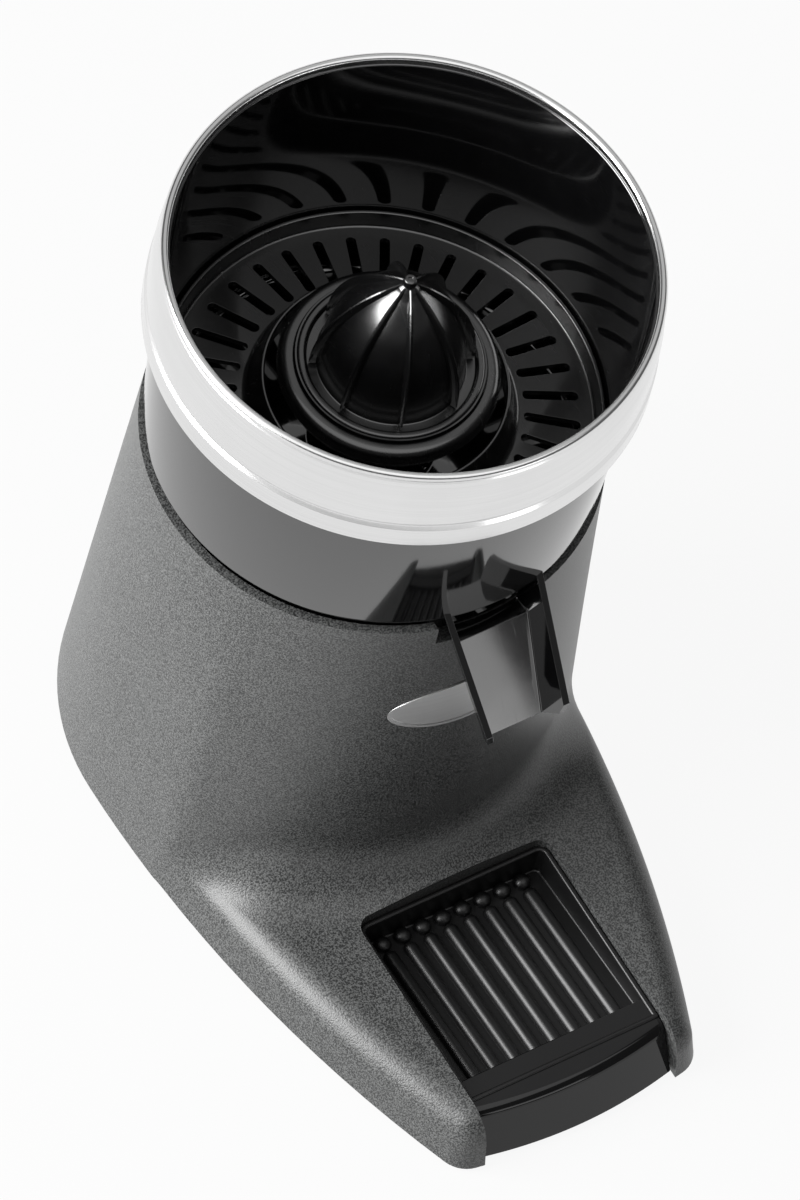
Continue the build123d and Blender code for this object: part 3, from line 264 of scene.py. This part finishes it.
# %% [markdown]
# ## Tools for turned pieces
# Ring, bowl, strainer and reamer are round, so each is drawn as half a section and spun round the drive axis. Real
# edges are never sharp, so a helper puts an arc at each corner of a section before it is drawn.


# %% Rounded outlines
def rounded(corners, steps):
    """Puts an arc at each corner (across, up, radius) of a closed outline."""
    points = []
    for index, (across, height, radius) in enumerate(corners):
        corner = Vector((across, height))
        if radius == 0:
            points.append(corner)
            continue
        back_way = (Vector(corners[index - 1][:2]) - corner).normalized()
        on_way = (Vector(corners[(index + 1) % len(corners)][:2]) - corner).normalized()
        half = back_way.angle(on_way) / 2
        centre = corner + (back_way + on_way).normalized() * radius / math.sin(half)
        first = corner + back_way * radius / math.tan(half) - centre
        last = corner + on_way * radius / math.tan(half) - centre
        for step in range(steps + 1):
            points.append(centre + first.lerp(last, step / steps).normalized() * radius)
    return points


# %% [markdown]
# A line is drawn by extruding one vertex from point to point. Spinning the line makes the surface, and the last
# helper welds the seam, turns the faces outwards and shades them smooth except at sharp edges.

# %% Drawing and turning
weld_distance = 0.004 * mm
smooth_below = math.radians(38)


def begin(name, add, **settings):
    """Adds a primitive under a name and opens it in edit mode with everything selected."""
    bpy.ops.object.select_all(action="DESELECT")
    add(**settings)
    piece = bpy.context.object
    piece.name = name
    bpy.ops.object.mode_set(mode="EDIT")
    bpy.ops.mesh.select_all(action="SELECT")
    return piece


def draw(name, points):
    """Merges a plane to one vertex and extrudes that vertex from point to point. Stays in edit mode."""
    bpy.context.tool_settings.mesh_select_mode = (True, False, False)
    piece = begin(name, bpy.ops.mesh.primitive_plane_add, size=mm)
    bpy.ops.mesh.merge(type="CENTER")
    bpy.ops.transform.translate(value=points[0])
    for start, stop in zip(points, points[1:]):
        bpy.ops.mesh.extrude_region_move(TRANSFORM_OT_translate={"value": stop - start})
    bpy.ops.mesh.select_all(action="SELECT")
    return piece


def close_up():
    """Merges doubles, turns the faces outwards and leaves edit mode."""
    bpy.ops.mesh.select_all(action="SELECT")
    bpy.ops.mesh.remove_doubles(threshold=weld_distance)
    bpy.ops.mesh.delete_loose(use_verts=True, use_edges=True, use_faces=False)
    bpy.ops.mesh.select_all(action="SELECT")
    bpy.ops.mesh.normals_make_consistent(inside=False)
    bpy.ops.object.mode_set(mode="OBJECT")
    bpy.ops.object.shade_smooth_by_angle(angle=smooth_below)


def turn(name, outline, steps):
    """Spins a closed outline of (radius, height) in millimetres round the drive axis."""
    points = [Vector((across * mm, 0, height * mm)) for across, height in outline]
    piece = draw(name, points + points[:1])
    bpy.ops.mesh.spin(steps=steps, angle=2 * math.pi, center=(0, 0, 0), axis=(0, 0, 1))
    close_up()
    return piece


# %% [markdown]
# A modelled piece takes the place of a loaded one. It rides on the same body, so that it moves with it. Its finish
# is the slot's own unless another is asked for or the piece already has some.

# %% Fitting a piece
carrier = {node: body for body, group in frame["record"]["behaviour"]["bodies"].items() for node in group}


def coat(piece, finish):
    """Gives the whole of a piece one finish."""
    piece.data.materials.clear()
    piece.data.materials.append(finishes[finish])


def fit(piece, node, finish=None):
    """Puts a modelled piece in a node's place, on its body, with the node's finish or one of its own."""
    if not piece.data.materials:
        coat(piece, finish or slot_of[node])
    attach(piece, carrier[node])
    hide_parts(node)
    print(piece.name, len(piece.data.polygons), "faces on", carrier[node])


# %% [markdown]
# ## Splash ring
# The ring is one strip of stainless sheet: a rolled bead at the rim, a slightly bulged band, a groove, and a lip
# below. The bead is a run of points round its centre, and the long bulge is one corner with a very large arc.

# %% Splash ring
bead_radius, bead_across, bead_up = 1.95, 101.95, 345.05
bead = [(bead_across + bead_radius * math.cos(math.radians(turned)),
         bead_up + bead_radius * math.sin(math.radians(turned)), 0) for turned in range(-60, 181, 15)]
ring_section = rounded([
    (105.2, 300.7, 0.3), (106.2, 300.7, 0.3), (106.2, 311.0, 1.2), (104.7, 313.2, 0.7), (105.6, 315.2, 1.4),
    (105.3, 330.0, 60), (103.6, 342.2, 0.3), *bead,
    (100.0, 343.1, 0), (102.3, 343.1, 0.3), (104.3, 330.0, 60), (104.5, 315.2, 1.0), (103.6, 313.2, 0.6),
    (105.2, 311.0, 0.4),
], 5)
fit(turn("spun_splash_ring", ring_section, 192), "splash_ring")

# %% [markdown]
# ## Tools for cutting
# Openings are cut with solid blocks. One helper takes a cutter's shape out of a piece, and one makes a block from
# corner to corner. The third selects the corners, edges or faces that pass a test, so that the next step acts on
# those alone.


# %% Cutting tools
def cut(piece, cutter, operation="DIFFERENCE"):
    """Takes a cutter's shape out of a piece with an applied Boolean, and removes the cutter."""
    taken = piece.modifiers.new("cut", "BOOLEAN")
    taken.operation = operation
    taken.solver = "EXACT"
    taken.object = cutter
    bpy.context.view_layer.objects.active = piece
    bpy.ops.object.modifier_apply(modifier="cut")
    bpy.data.objects.remove(cutter)


def block(name, low, high):
    """A cube from one corner to the other, in millimetres, left in edit mode with nothing selected."""
    piece = begin(name, bpy.ops.mesh.primitive_cube_add, size=1)
    bpy.ops.transform.resize(value=[(b - a) * mm for a, b in zip(low, high)], center_override=(0, 0, 0))
    bpy.ops.transform.translate(value=[(a + b) / 2 * mm for a, b in zip(low, high)])
    bpy.ops.mesh.select_all(action="DESELECT")
    return piece


def pick(piece, kind, test):
    """Selects the vertices, edges or polygons whose middle passes a test in millimetres, in edit mode."""
    bpy.ops.object.mode_set(mode="OBJECT")
    bpy.context.tool_settings.mesh_select_mode = (kind == "vertices", kind == "edges", kind == "polygons")
    mesh = piece.data
    for group in (mesh.vertices, mesh.edges, mesh.polygons):
        group.foreach_set("select", [False] * len(group))
    for item in getattr(mesh, kind):
        corners = [item.co] if kind == "vertices" else [mesh.vertices[index].co for index in item.vertices]
        item.select = test(sum(corners, Vector()) / len(corners) / mm)
    bpy.ops.object.mode_set(mode="EDIT")


# %% [markdown]
# ## Bowl
# The bowl is moulded in one with its chimney, which keeps juice off the shaft. It is spun first, and the mouth to
# the chute is cut through its wall with a block whose upper corners are rounded.

# %% Bowl, turned and cut
bowl_section = rounded([
    (20.4, 209.0, 0.6), (91.5, 209.0, 1.5), (91.5, 223.8, 0.6), (97.0, 223.8, 4.0), (102.3, 343.1, 0.8),
    (99.3, 343.1, 0.8), (93.9, 236.0, 0.8), (88.5, 236.0, 1.0), (88.5, 212.0, 4.0), (23.4, 212.0, 4.0),
    (23.4, 262.0, 1.2), (20.4, 262.0, 0.8),
], 5)
bowl_shell = turn("moulded_bowl", bowl_section, 192)
mouth_half, mouth_top = 19, 220
mouth = block("mouth_cutter", (-mouth_half, -99.4, 212), (mouth_half, -84, mouth_top))
pick(mouth, "edges", lambda middle: abs(middle.x) > mouth_half - 1 and middle.z > mouth_top - 1)
bpy.ops.mesh.bevel(offset=3 * mm, segments=5, affect="EDGES")
bpy.ops.object.mode_set(mode="OBJECT")
cut(bowl_shell, mouth)
print("bowl with its mouth", len(bowl_shell.data.polygons), "faces")

# %% [markdown]
# ## Chute
# An open channel leads juice from the mouth to the glass. Its flat walls lean outwards, it narrows to its lip, and its
# floor falls more steeply than the tops of its walls, so no single section can be extruded. Upright sections are
# drawn one behind the other and bridged into a bar.


# %% Spout tools
def join(main, *others):
    """Joins pieces into the first one."""
    bpy.ops.object.select_all(action="DESELECT")
    for piece in (main, *others):
        piece.select_set(True)
    bpy.context.view_layer.objects.active = main
    bpy.ops.object.join()


def spout(name, sections):
    """Bridges sections of (y, top, half width there, floor, half width there, corner radius) into one bar."""
    rows = []
    for y, top, top_half, floor, floor_half, radius in sections:
        outline = rounded([(top_half, top, 0), (-top_half, top, 0), (-floor_half, floor, radius),
                           (floor_half, floor, radius)], 8)
        points = [Vector((x * mm, y * mm, z * mm)) for x, z in outline]
        rows.append(draw(name, points + points[:1]))
        bpy.ops.mesh.remove_doubles(threshold=weld_distance)
        bpy.ops.object.mode_set(mode="OBJECT")
    join(*rows)
    bar = bpy.context.object
    for row, next_row in zip(sections, sections[1:]):
        pick(bar, "edges", lambda middle: abs(middle.y - row[0]) < 0.01 or abs(middle.y - next_row[0]) < 0.01)
        bpy.ops.mesh.bridge_edge_loops()
    for row in (sections[0], sections[-1]):
        pick(bar, "edges", lambda middle: abs(middle.y - row[0]) < 0.01)
        bpy.ops.mesh.edge_face_add()
    close_up()
    return bar


def soften(piece, width, segments, angle=40):
    """Bevels every edge sharper than an angle, applied, and keeps flats flat in the shading."""
    bpy.ops.object.select_all(action="DESELECT")
    piece.select_set(True)
    bpy.context.view_layer.objects.active = piece
    edges = piece.modifiers.new("soft_edges", "BEVEL")
    edges.width = width * mm
    edges.segments = segments
    edges.limit_method = "ANGLE"
    edges.angle_limit = math.radians(angle)
    bpy.ops.object.modifier_apply(modifier="soft_edges")
    bpy.ops.object.shade_smooth_by_angle(angle=smooth_below)
    flats = piece.modifiers.new("true_flats", "WEIGHTED_NORMAL")
    flats.keep_sharp = True
    bpy.ops.object.modifier_apply(modifier="true_flats")


# %% [markdown]
# The outer bar is cut off along the lip, and a second bar and the bowl's round inside are taken out of it. Every edge
# that is left gets a small bevel, because those edges catch the light.

# %% Chute
chute = spout("chute", [
    (-87, 238.4, 24.5, 209.3, 16.6, 4),
    (-99.8, 224.7, 23.4, 209.3, 19.2, 4),
    (-134.4, 187.8, 20.2, 165.0, 14.0, 4),
])
lip_point, lip_facing = (0, -129.5 * mm, 177.8 * mm), (0, -10, -4.9)
bpy.ops.object.mode_set(mode="EDIT")
bpy.ops.mesh.select_all(action="SELECT")
bpy.ops.mesh.bisect(plane_co=lip_point, plane_no=lip_facing, use_fill=True, clear_outer=True)
close_up()
channel = spout("channel_cutter", [
    (-86, 262, 27.7, 212.4, 14.3, 1),
    (-99.8, 262, 30.5, 211.6, 16.9, 1),
    (-137, 262, 37.7, 164.0, 11.2, 1),
])
cut(chute, channel)
cut(chute, turn("inside_cutter", [(0, 170), (93, 170), (93, 260), (0, 260)], 96))
soften(chute, 0.9, 4)
join(bowl_shell, chute)
fit(bowl_shell, "bowl")

# %% [markdown]
# ## Strainer
# A shallow cone with a lip and a collar, pierced by 36 slots with round ends. One slot is made from a block with
# its upright edges bevelled round, then copied and turned until the circle is full.


# %% Strainer
def spin_selection(angle):
    """Turns what is selected round the drive axis."""
    bpy.ops.transform.rotate(value=angle, orient_axis="Z", center_override=(0, 0, 0))


def copy_round(count):
    """Copies what is selected round the drive axis, until there are as many as asked for."""
    for copy in range(count - 1):
        bpy.ops.mesh.duplicate()
        spin_selection(math.radians(360 / count))


strainer_section = rounded([
    (93.5, 236.0, 0.5), (93.5, 246.0, 0.8), (91.7, 246.0, 0.8), (89.9, 238.6, 1.2), (56.0, 243.2, 3.0),
    (51.9, 259.4, 0.8), (50.1, 259.4, 0.8), (52.4, 240.6, 2.0), (88.1, 236.0, 0.5),
], 5)
strainer = turn("slotted_strainer", strainer_section, 180)
slots = block("slot_cutter", (59.7, -2.1, 230), (84.0, 2.1, 256))
pick(slots, "edges", lambda middle: abs(middle.z - 243) < 1)
bpy.ops.mesh.bevel(offset=2.08 * mm, segments=7, affect="EDGES")
bpy.ops.mesh.select_all(action="SELECT")
spin_selection(-math.radians(7.7))
copy_round(36)
bpy.ops.object.mode_set(mode="OBJECT")
cut(strainer, slots)
soften(strainer, 0.4, 2, 55)
fit(strainer, "strainer", "black_worn")

# %% [markdown]
# ## Reamer
# A smooth dome on a double-beaded flange, with eight tall ribs that bite into the fruit and meet in a small button.
# The dome's side is a run of points on one circle, between the corners of the flange and those of the button.

# %% Reamer dome
dome_radius, dome_across, dome_up = 65.7, -35.2, 276.2
dome = [(dome_across + dome_radius * math.cos(math.radians(turned)),
         dome_up + dome_radius * math.sin(math.radians(turned)), 0) for turned in range(2, 53, 2)]
button = [
    (4.3, 329.6, 1.5), (2.7, 331.4, 1.0), (2.6, 334.6, 0.7), (1.1, 335.0, 0.2), (0.9, 334.2, 0.2), (0, 334.2, 0),
]
cone_section = rounded([
    (0, 302.6, 0), (7.6, 302.6, 0), (7.6, 270.0, 0.4), (14.0, 270.0, 0.4), (14.0, 302.6, 0), (24.0, 296.0, 4),
    (27.5, 276.2, 4), (27.5, 270.6, 0.5), (42.6, 270.6, 0.4), (42.6, 263.0, 0.4), (44.6, 263.0, 0.6),
    (46.6, 267.5, 1.5), (45.6, 273.8, 4.0), (39.6, 273.8, 1.4), (39.4, 272.2, 0.4), (38.9, 276.2, 1.4),
    (35.6, 276.2, 1.4), (35.1, 274.0, 0.4), (31.0, 274.0, 0.8), *dome, *button,
], 5)
reamer = turn("ribbed_reamer", cone_section, 160)
print("reamer dome", len(reamer.data.polygons), "faces")

# %% [markdown]
# The crest of a rib is known at three points: at the flange, halfway up and under the button. The circle through them
# is worked out first. A flattened disc is then spun along that circle, and the rib is tipped until its foot is down.


# %% Reamer rib
def circle_through(first, second, third):
    """The centre of the circle through three points of a plane, where the middle lines of two chords meet."""
    chord_one, chord_two = second - first, third - second
    middle_one, middle_two = (first + second) / 2, (second + third) / 2
    across_one, across_two = Vector((-chord_one.y, chord_one.x)), Vector((-chord_two.y, chord_two.x))
    gap = middle_two - middle_one
    slant = across_one.x * across_two.y - across_one.y * across_two.x
    return middle_one + across_one * ((gap.x * across_two.y - gap.y * across_two.x) / slant)


crest = [Vector((34.4, 274.4)), Vector((27.2, 306.6)), Vector((3.4, 331.4))]
hub = circle_through(*crest)
hub_place = (hub.x * mm, 0, hub.y * mm)
crest_radius = (crest[0] - hub).length
crest_angle = (crest[0] - hub).angle(crest[2] - hub)
crest_tilt = math.atan2(crest[0].y - hub.y, crest[0].x - hub.x)
print("crest circle", round(crest_radius, 1), "mm, over", round(math.degrees(crest_angle), 1), "degrees")

rib_half_height, rib_half_width = 4.2, 1.45
ribs = begin("reamer_ribs", bpy.ops.mesh.primitive_circle_add, vertices=16, radius=mm, fill_type="NGON")
bpy.ops.transform.resize(value=(rib_half_height, rib_half_width, 1), center_override=(0, 0, 0))
bpy.ops.transform.translate(value=((hub.x + crest_radius - rib_half_height) * mm, 0, hub.y * mm))
bpy.ops.mesh.spin(steps=28, angle=crest_angle, center=hub_place, axis=(0, 1, 0))
bpy.ops.mesh.select_all(action="SELECT")
bpy.ops.transform.rotate(value=crest_tilt, orient_axis="Y", center_override=hub_place)

# %% [markdown]
# The rib is thinned at its foot and near the button, then copied seven times round the axis. The ribs and the dome
# are joined into one piece, as they are moulded in one.

# %% Reamer, joined
for low, high, pinch in ((270, 276.5, 0.45), (270, 281, 0.75), (326, 340, 0.7)):
    pick(ribs, "vertices", lambda place: low < place.z < high)
    bpy.ops.transform.resize(value=(1, pinch, 1), center_override=(0, 0, 0))
bpy.ops.mesh.select_all(action="SELECT")
bpy.ops.mesh.normals_make_consistent(inside=False)
spin_selection(-math.radians(21))
copy_round(8)
bpy.ops.object.mode_set(mode="OBJECT")
join(reamer, ribs)
fit(reamer, "reamer_cone", "black_worn")

# %% [markdown]
# ## Drip tray
# The tray slides into the foot. Its tub starts as a block: the rear corners are rounded, the top face is inset for the
# rim and pushed down, and the front edge of the new floor is lifted so that drips run to the back. Every edge gets a
# small bevel.

# %% Drip tray tub
tray_half, tray_front, tray_rear = 47, -210.5, -115.5
tub_bottom, tub_top, tub_wall, tub_depth, floor_rise = 7, 26, 2.2, 16.4, 7.4
tub_middle, tub_floor = (tub_bottom + tub_top) / 2, tub_top - tub_depth
tub = block("drip_tray_tub", (-tray_half, tray_front, tub_bottom), (tray_half, tray_rear, tub_top))
pick(tub, "edges", lambda middle: abs(middle.x) > tray_half - 1 and middle.y > tray_rear - 0.5
     and abs(middle.z - tub_middle) < 1)
bpy.ops.mesh.bevel(offset=5 * mm, segments=6, affect="EDGES")
pick(tub, "polygons", lambda middle: middle.z > tub_top - 0.1)
bpy.ops.mesh.inset(thickness=tub_wall * mm, depth=0)
bpy.ops.mesh.extrude_region_move(TRANSFORM_OT_translate={"value": (0, 0, -tub_depth * mm)})
pick(tub, "vertices", lambda place: place.y < tray_front + 10 and abs(place.z - tub_floor) < 0.4)
bpy.ops.transform.translate(value=(0, 0, floor_rise * mm))
close_up()
soften(tub, 0.8, 3, 50)
print("tub floor from", round(tub_floor, 1), "mm up to", round(tub_floor + floor_rise, 1), "mm")

# %% [markdown]
# Eight round ribs carry the glass, and behind each sits a separate bead. A rib is a sphere whose front half is
# flattened and pulled forward, parallel to the sloping floor. The bead is a second sphere, a little lower than it is
# wide, and the pair is copied across the tub.

# %% Drip tray ribs
rib_count, rib_pitch = 8, 10
rib_rear = [along * mm for along in (-35, -128.6, 10.6)]
rib_run = [along * mm for along in (0, -70.4, 5.6)]
bead_place = [along * mm for along in (-35, -121.4, 10.6)]
ball = {"segments": 24, "ring_count": 16}
bars = begin("tray_ribs", bpy.ops.mesh.primitive_uv_sphere_add, radius=3.3 * mm, **ball)
bpy.ops.transform.rotate(value=math.radians(90), orient_axis="X", center_override=(0, 0, 0))
bpy.ops.transform.translate(value=rib_rear)
pick(bars, "vertices", lambda place: place.y < rib_rear[1] / mm - 0.01)
bpy.ops.transform.resize(value=(1, 0.02, 1), center_override=rib_rear)
bpy.ops.transform.translate(value=rib_run)
bpy.ops.mesh.primitive_uv_sphere_add(radius=3.9 * mm, location=bead_place, **ball)
bpy.ops.transform.resize(value=(1, 1, 0.85), center_override=bead_place)
bpy.ops.mesh.select_all(action="SELECT")
for copy in range(rib_count - 1):
    bpy.ops.mesh.duplicate()
    bpy.ops.transform.translate(value=(rib_pitch * mm, 0, 0))
close_up()
print("tray ribs", rib_count, "with", len(bars.data.polygons), "faces")

# %% [markdown]
# The front plate is what a hand pulls. Its bowed outline is drawn, filled and extruded up along a lean, and its
# front upper edge gets a wide round bevel that shows as a bright band.

# %% Drip tray front plate
bow_front, bow_depth, bow_steps = -226.5, 5, 24
plate_bottom, plate_height = 4, 21
plate_lean = math.tan(math.radians(28)) * plate_height
bow = [(tray_half - 2 * tray_half * step / bow_steps, bow_front - bow_depth * (1 - (2 * step / bow_steps - 1) ** 2))
       for step in range(bow_steps + 1)]
plate_outline = [Vector((x * mm, y * mm, plate_bottom * mm))
                 for x, y in [(-tray_half, tray_front), (tray_half, tray_front), *bow]]
plate = draw("tray_plate", plate_outline + plate_outline[:1])
bpy.ops.mesh.remove_doubles(threshold=weld_distance)
bpy.ops.mesh.edge_face_add()
bpy.ops.mesh.extrude_region_move(TRANSFORM_OT_translate={"value": (0, plate_lean * mm, plate_height * mm)})
close_up()
pick(plate, "edges", lambda middle: middle.z > plate_bottom + plate_height - 0.1 and middle.y < -214)
bpy.ops.mesh.bevel(offset=3.6 * mm, segments=8, affect="EDGES")
close_up()
soften(plate, 0.6, 3, 45)
for piece, finish in ((tub, "black_satin"), (bars, "black_satin"), (plate, "black_plate")):
    coat(piece, finish)
join(tub, bars, plate)
fit(tub, "drip_tray")

# %% [markdown]
# ## Oval plate
# A bare oval plate sits in a shallow seat on the body's round front. Bending a flat oval would need care at every
# point, so the plate is found as what an oval bar and a thin tube have in common. A smaller oval is then taken out
# of its face, which leaves a raised edge that catches the light.


# %% Oval plate
def oval_bar(name, half_length, half_height):
    """An oval bar that runs from inside the body out through its front."""
    bar = begin(name, bpy.ops.mesh.primitive_circle_add, vertices=128, radius=mm, fill_type="NGON")
    bpy.ops.transform.resize(value=(half_length, half_height, 1), center_override=(0, 0, 0))
    bpy.ops.transform.rotate(value=math.radians(90), orient_axis="X", center_override=(0, 0, 0))
    bpy.ops.transform.translate(value=(0, -80 * mm, 156 * mm))
    bpy.ops.mesh.extrude_region_move(TRANSFORM_OT_translate={"value": (0, -30 * mm, 0)})
    close_up()
    return bar


def tube(name, inner, outer):
    """A tube round the drive axis that is taller than the plate."""
    return turn(name, [(inner, 130), (outer, 130), (outer, 182), (inner, 182)], 240)


oval = oval_bar("bare_oval_plate", 37.8, 15.8)
cut(oval, tube("plate_tube", 97.5, 99.15), "INTERSECT")
field = oval_bar("field_cutter", 36.2, 14.2)
cut(field, tube("field_tube", 98.7, 102), "INTERSECT")
cut(oval, field)
soften(oval, 0.2, 3, 50)
fit(oval, "badge_plate")

# %% [markdown]
# ## Camera
# The photo was taken from above with a long lens. Its place and turn were worked out from the round rims, and the
# three axes below are the camera's right, up and back directions.

# %% Camera
camera_place = Vector((-1.7037, -1.87293, 4.00859))
right = Vector((0.8510499, -0.5075037, 0.1347371))
up = Vector((0.3722768, 0.7641391, 0.526784))
back = Vector((-0.3703027, -0.3981599, 0.8392524))
lens_data = bpy.data.cameras.new("long_lens")
lens_data.lens = 330.11
lens_data.sensor_width = 36
lens_data.clip_end = 60
camera = bpy.data.objects.new("long_lens", lens_data)
bpy.context.scene.collection.objects.link(camera)
camera.matrix_world = Matrix.Translation(camera_place) @ Matrix((right, up, back)).transposed().to_4x4()
bpy.context.scene.camera = camera
bpy.context.scene.view_settings.view_transform = "Standard"
print("camera", round(camera_place.length, 2), "m away, lens", round(lens_data.lens), "mm")

# %% [markdown]
# ## Floor, world and lamps
# The juicer stands on a white sweep, which is a wide floor that turns up at its far rim. To the camera and in
# reflections it is almost plain white, and for all other light it is grey, so the white costs no extra light on the
# object. A small share of what the camera sees is still the grey floor, which keeps a faint shadow.

# %% Sweep
flat_radius, rim_radius = 18, 3.9
rise = [Vector((flat_radius + rim_radius * math.sin(math.radians(turned)), 0,
                rim_radius - rim_radius * math.cos(math.radians(turned)))) for turned in range(0, 91, 10)]
floor = draw("studio_sweep", [Vector((0, 0, 0)), *rise])
bpy.ops.mesh.spin(steps=64, angle=2 * math.pi, center=(0, 0, 0), axis=(0, 0, 1))
close_up()
floor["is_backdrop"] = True

white_share = 0.92
ground = Finish("white_sweep", Base_Color=(0.4, 0.4, 0.4, 1), Roughness=0.9)
seen = ground.node("ShaderNodeLightPath", output="Is Camera Ray")
for ray in ("Is Glossy Ray", "Is Transmission Ray"):
    seen = seen.maths("MAXIMUM", seen, ground.node("ShaderNodeLightPath", output=ray))
glow = ground.node("ShaderNodeEmission", {}, {"Color": (1, 1, 1, 1)})
shaded = Wire(ground, ground.shader.outputs[0])
cover = ground.node("ShaderNodeMixShader", {}, {0: seen * white_share, 1: shaded, 2: glow})
ground.tree.links.new(cover.socket, ground.tree.nodes["Material Output"].inputs["Surface"])
floor.data.materials.append(ground.material)
print("sweep", flat_radius + rim_radius, "m to its rim")

# %% [markdown]
# Above the sweep the room is dim, as in a studio, so that black gloss stays black between the lamps. A large softbox
# at the picture's left gives most of the light. A wide one hangs level overhead and lies across the view, a weak one
# fills in from the rear right, and a small low one in front only shows as the pale patch in the chute.

# %% Room and lamps
room = bpy.data.worlds.new("studio_room")
bpy.context.scene.world = room
room.use_nodes = True
room.node_tree.nodes["Background"].inputs["Color"].default_value = (1, 1, 1, 1)
room.node_tree.nodes["Background"].inputs["Strength"].default_value = 0.12


def lamp(name, place, aim, size, power, turned=0):
    """A softbox at a place in metres that faces its aim, turned about its own axis by an angle in degrees."""
    data = bpy.data.lights.new(name, "AREA")
    data.shape = "RECTANGLE"
    data.size, data.size_y = size
    data.energy = power
    made = bpy.data.objects.new(name, data)
    bpy.context.scene.collection.objects.link(made)
    made.location = place
    made.rotation_euler = (Vector(aim) - Vector(place)).to_track_quat("-Z", "Y").to_euler()
    made.rotation_euler.rotate_axis("Z", math.radians(turned))
    print(name, power, "W")


lamp("left_softbox", place=(-2.2, 0.75, 1.2), aim=(0, 0, 0.15), size=(2.0, 2.0), power=200)
lamp("top_softbox", place=(0.9, 1.0, 2.2), aim=(0, 0, 0.2), size=(2.4, 2.4), power=8)
lamp("overhead_softbox", place=(-0.55, -0.45, 2.2), aim=(-0.55, -0.45, 0), size=(3.2, 2.0), power=22, turned=-45)
lamp("chute_softbox", place=(0.205, -0.987, 0.354), aim=(0, -0.112, 0.195), size=(0.3, 0.17), power=0.27)

# %% [markdown]
# ## Size
# The visual model keeps the solids' size. The bounds of everything shown, without the sweep, are measured last.

# %% Sizes
low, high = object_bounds()
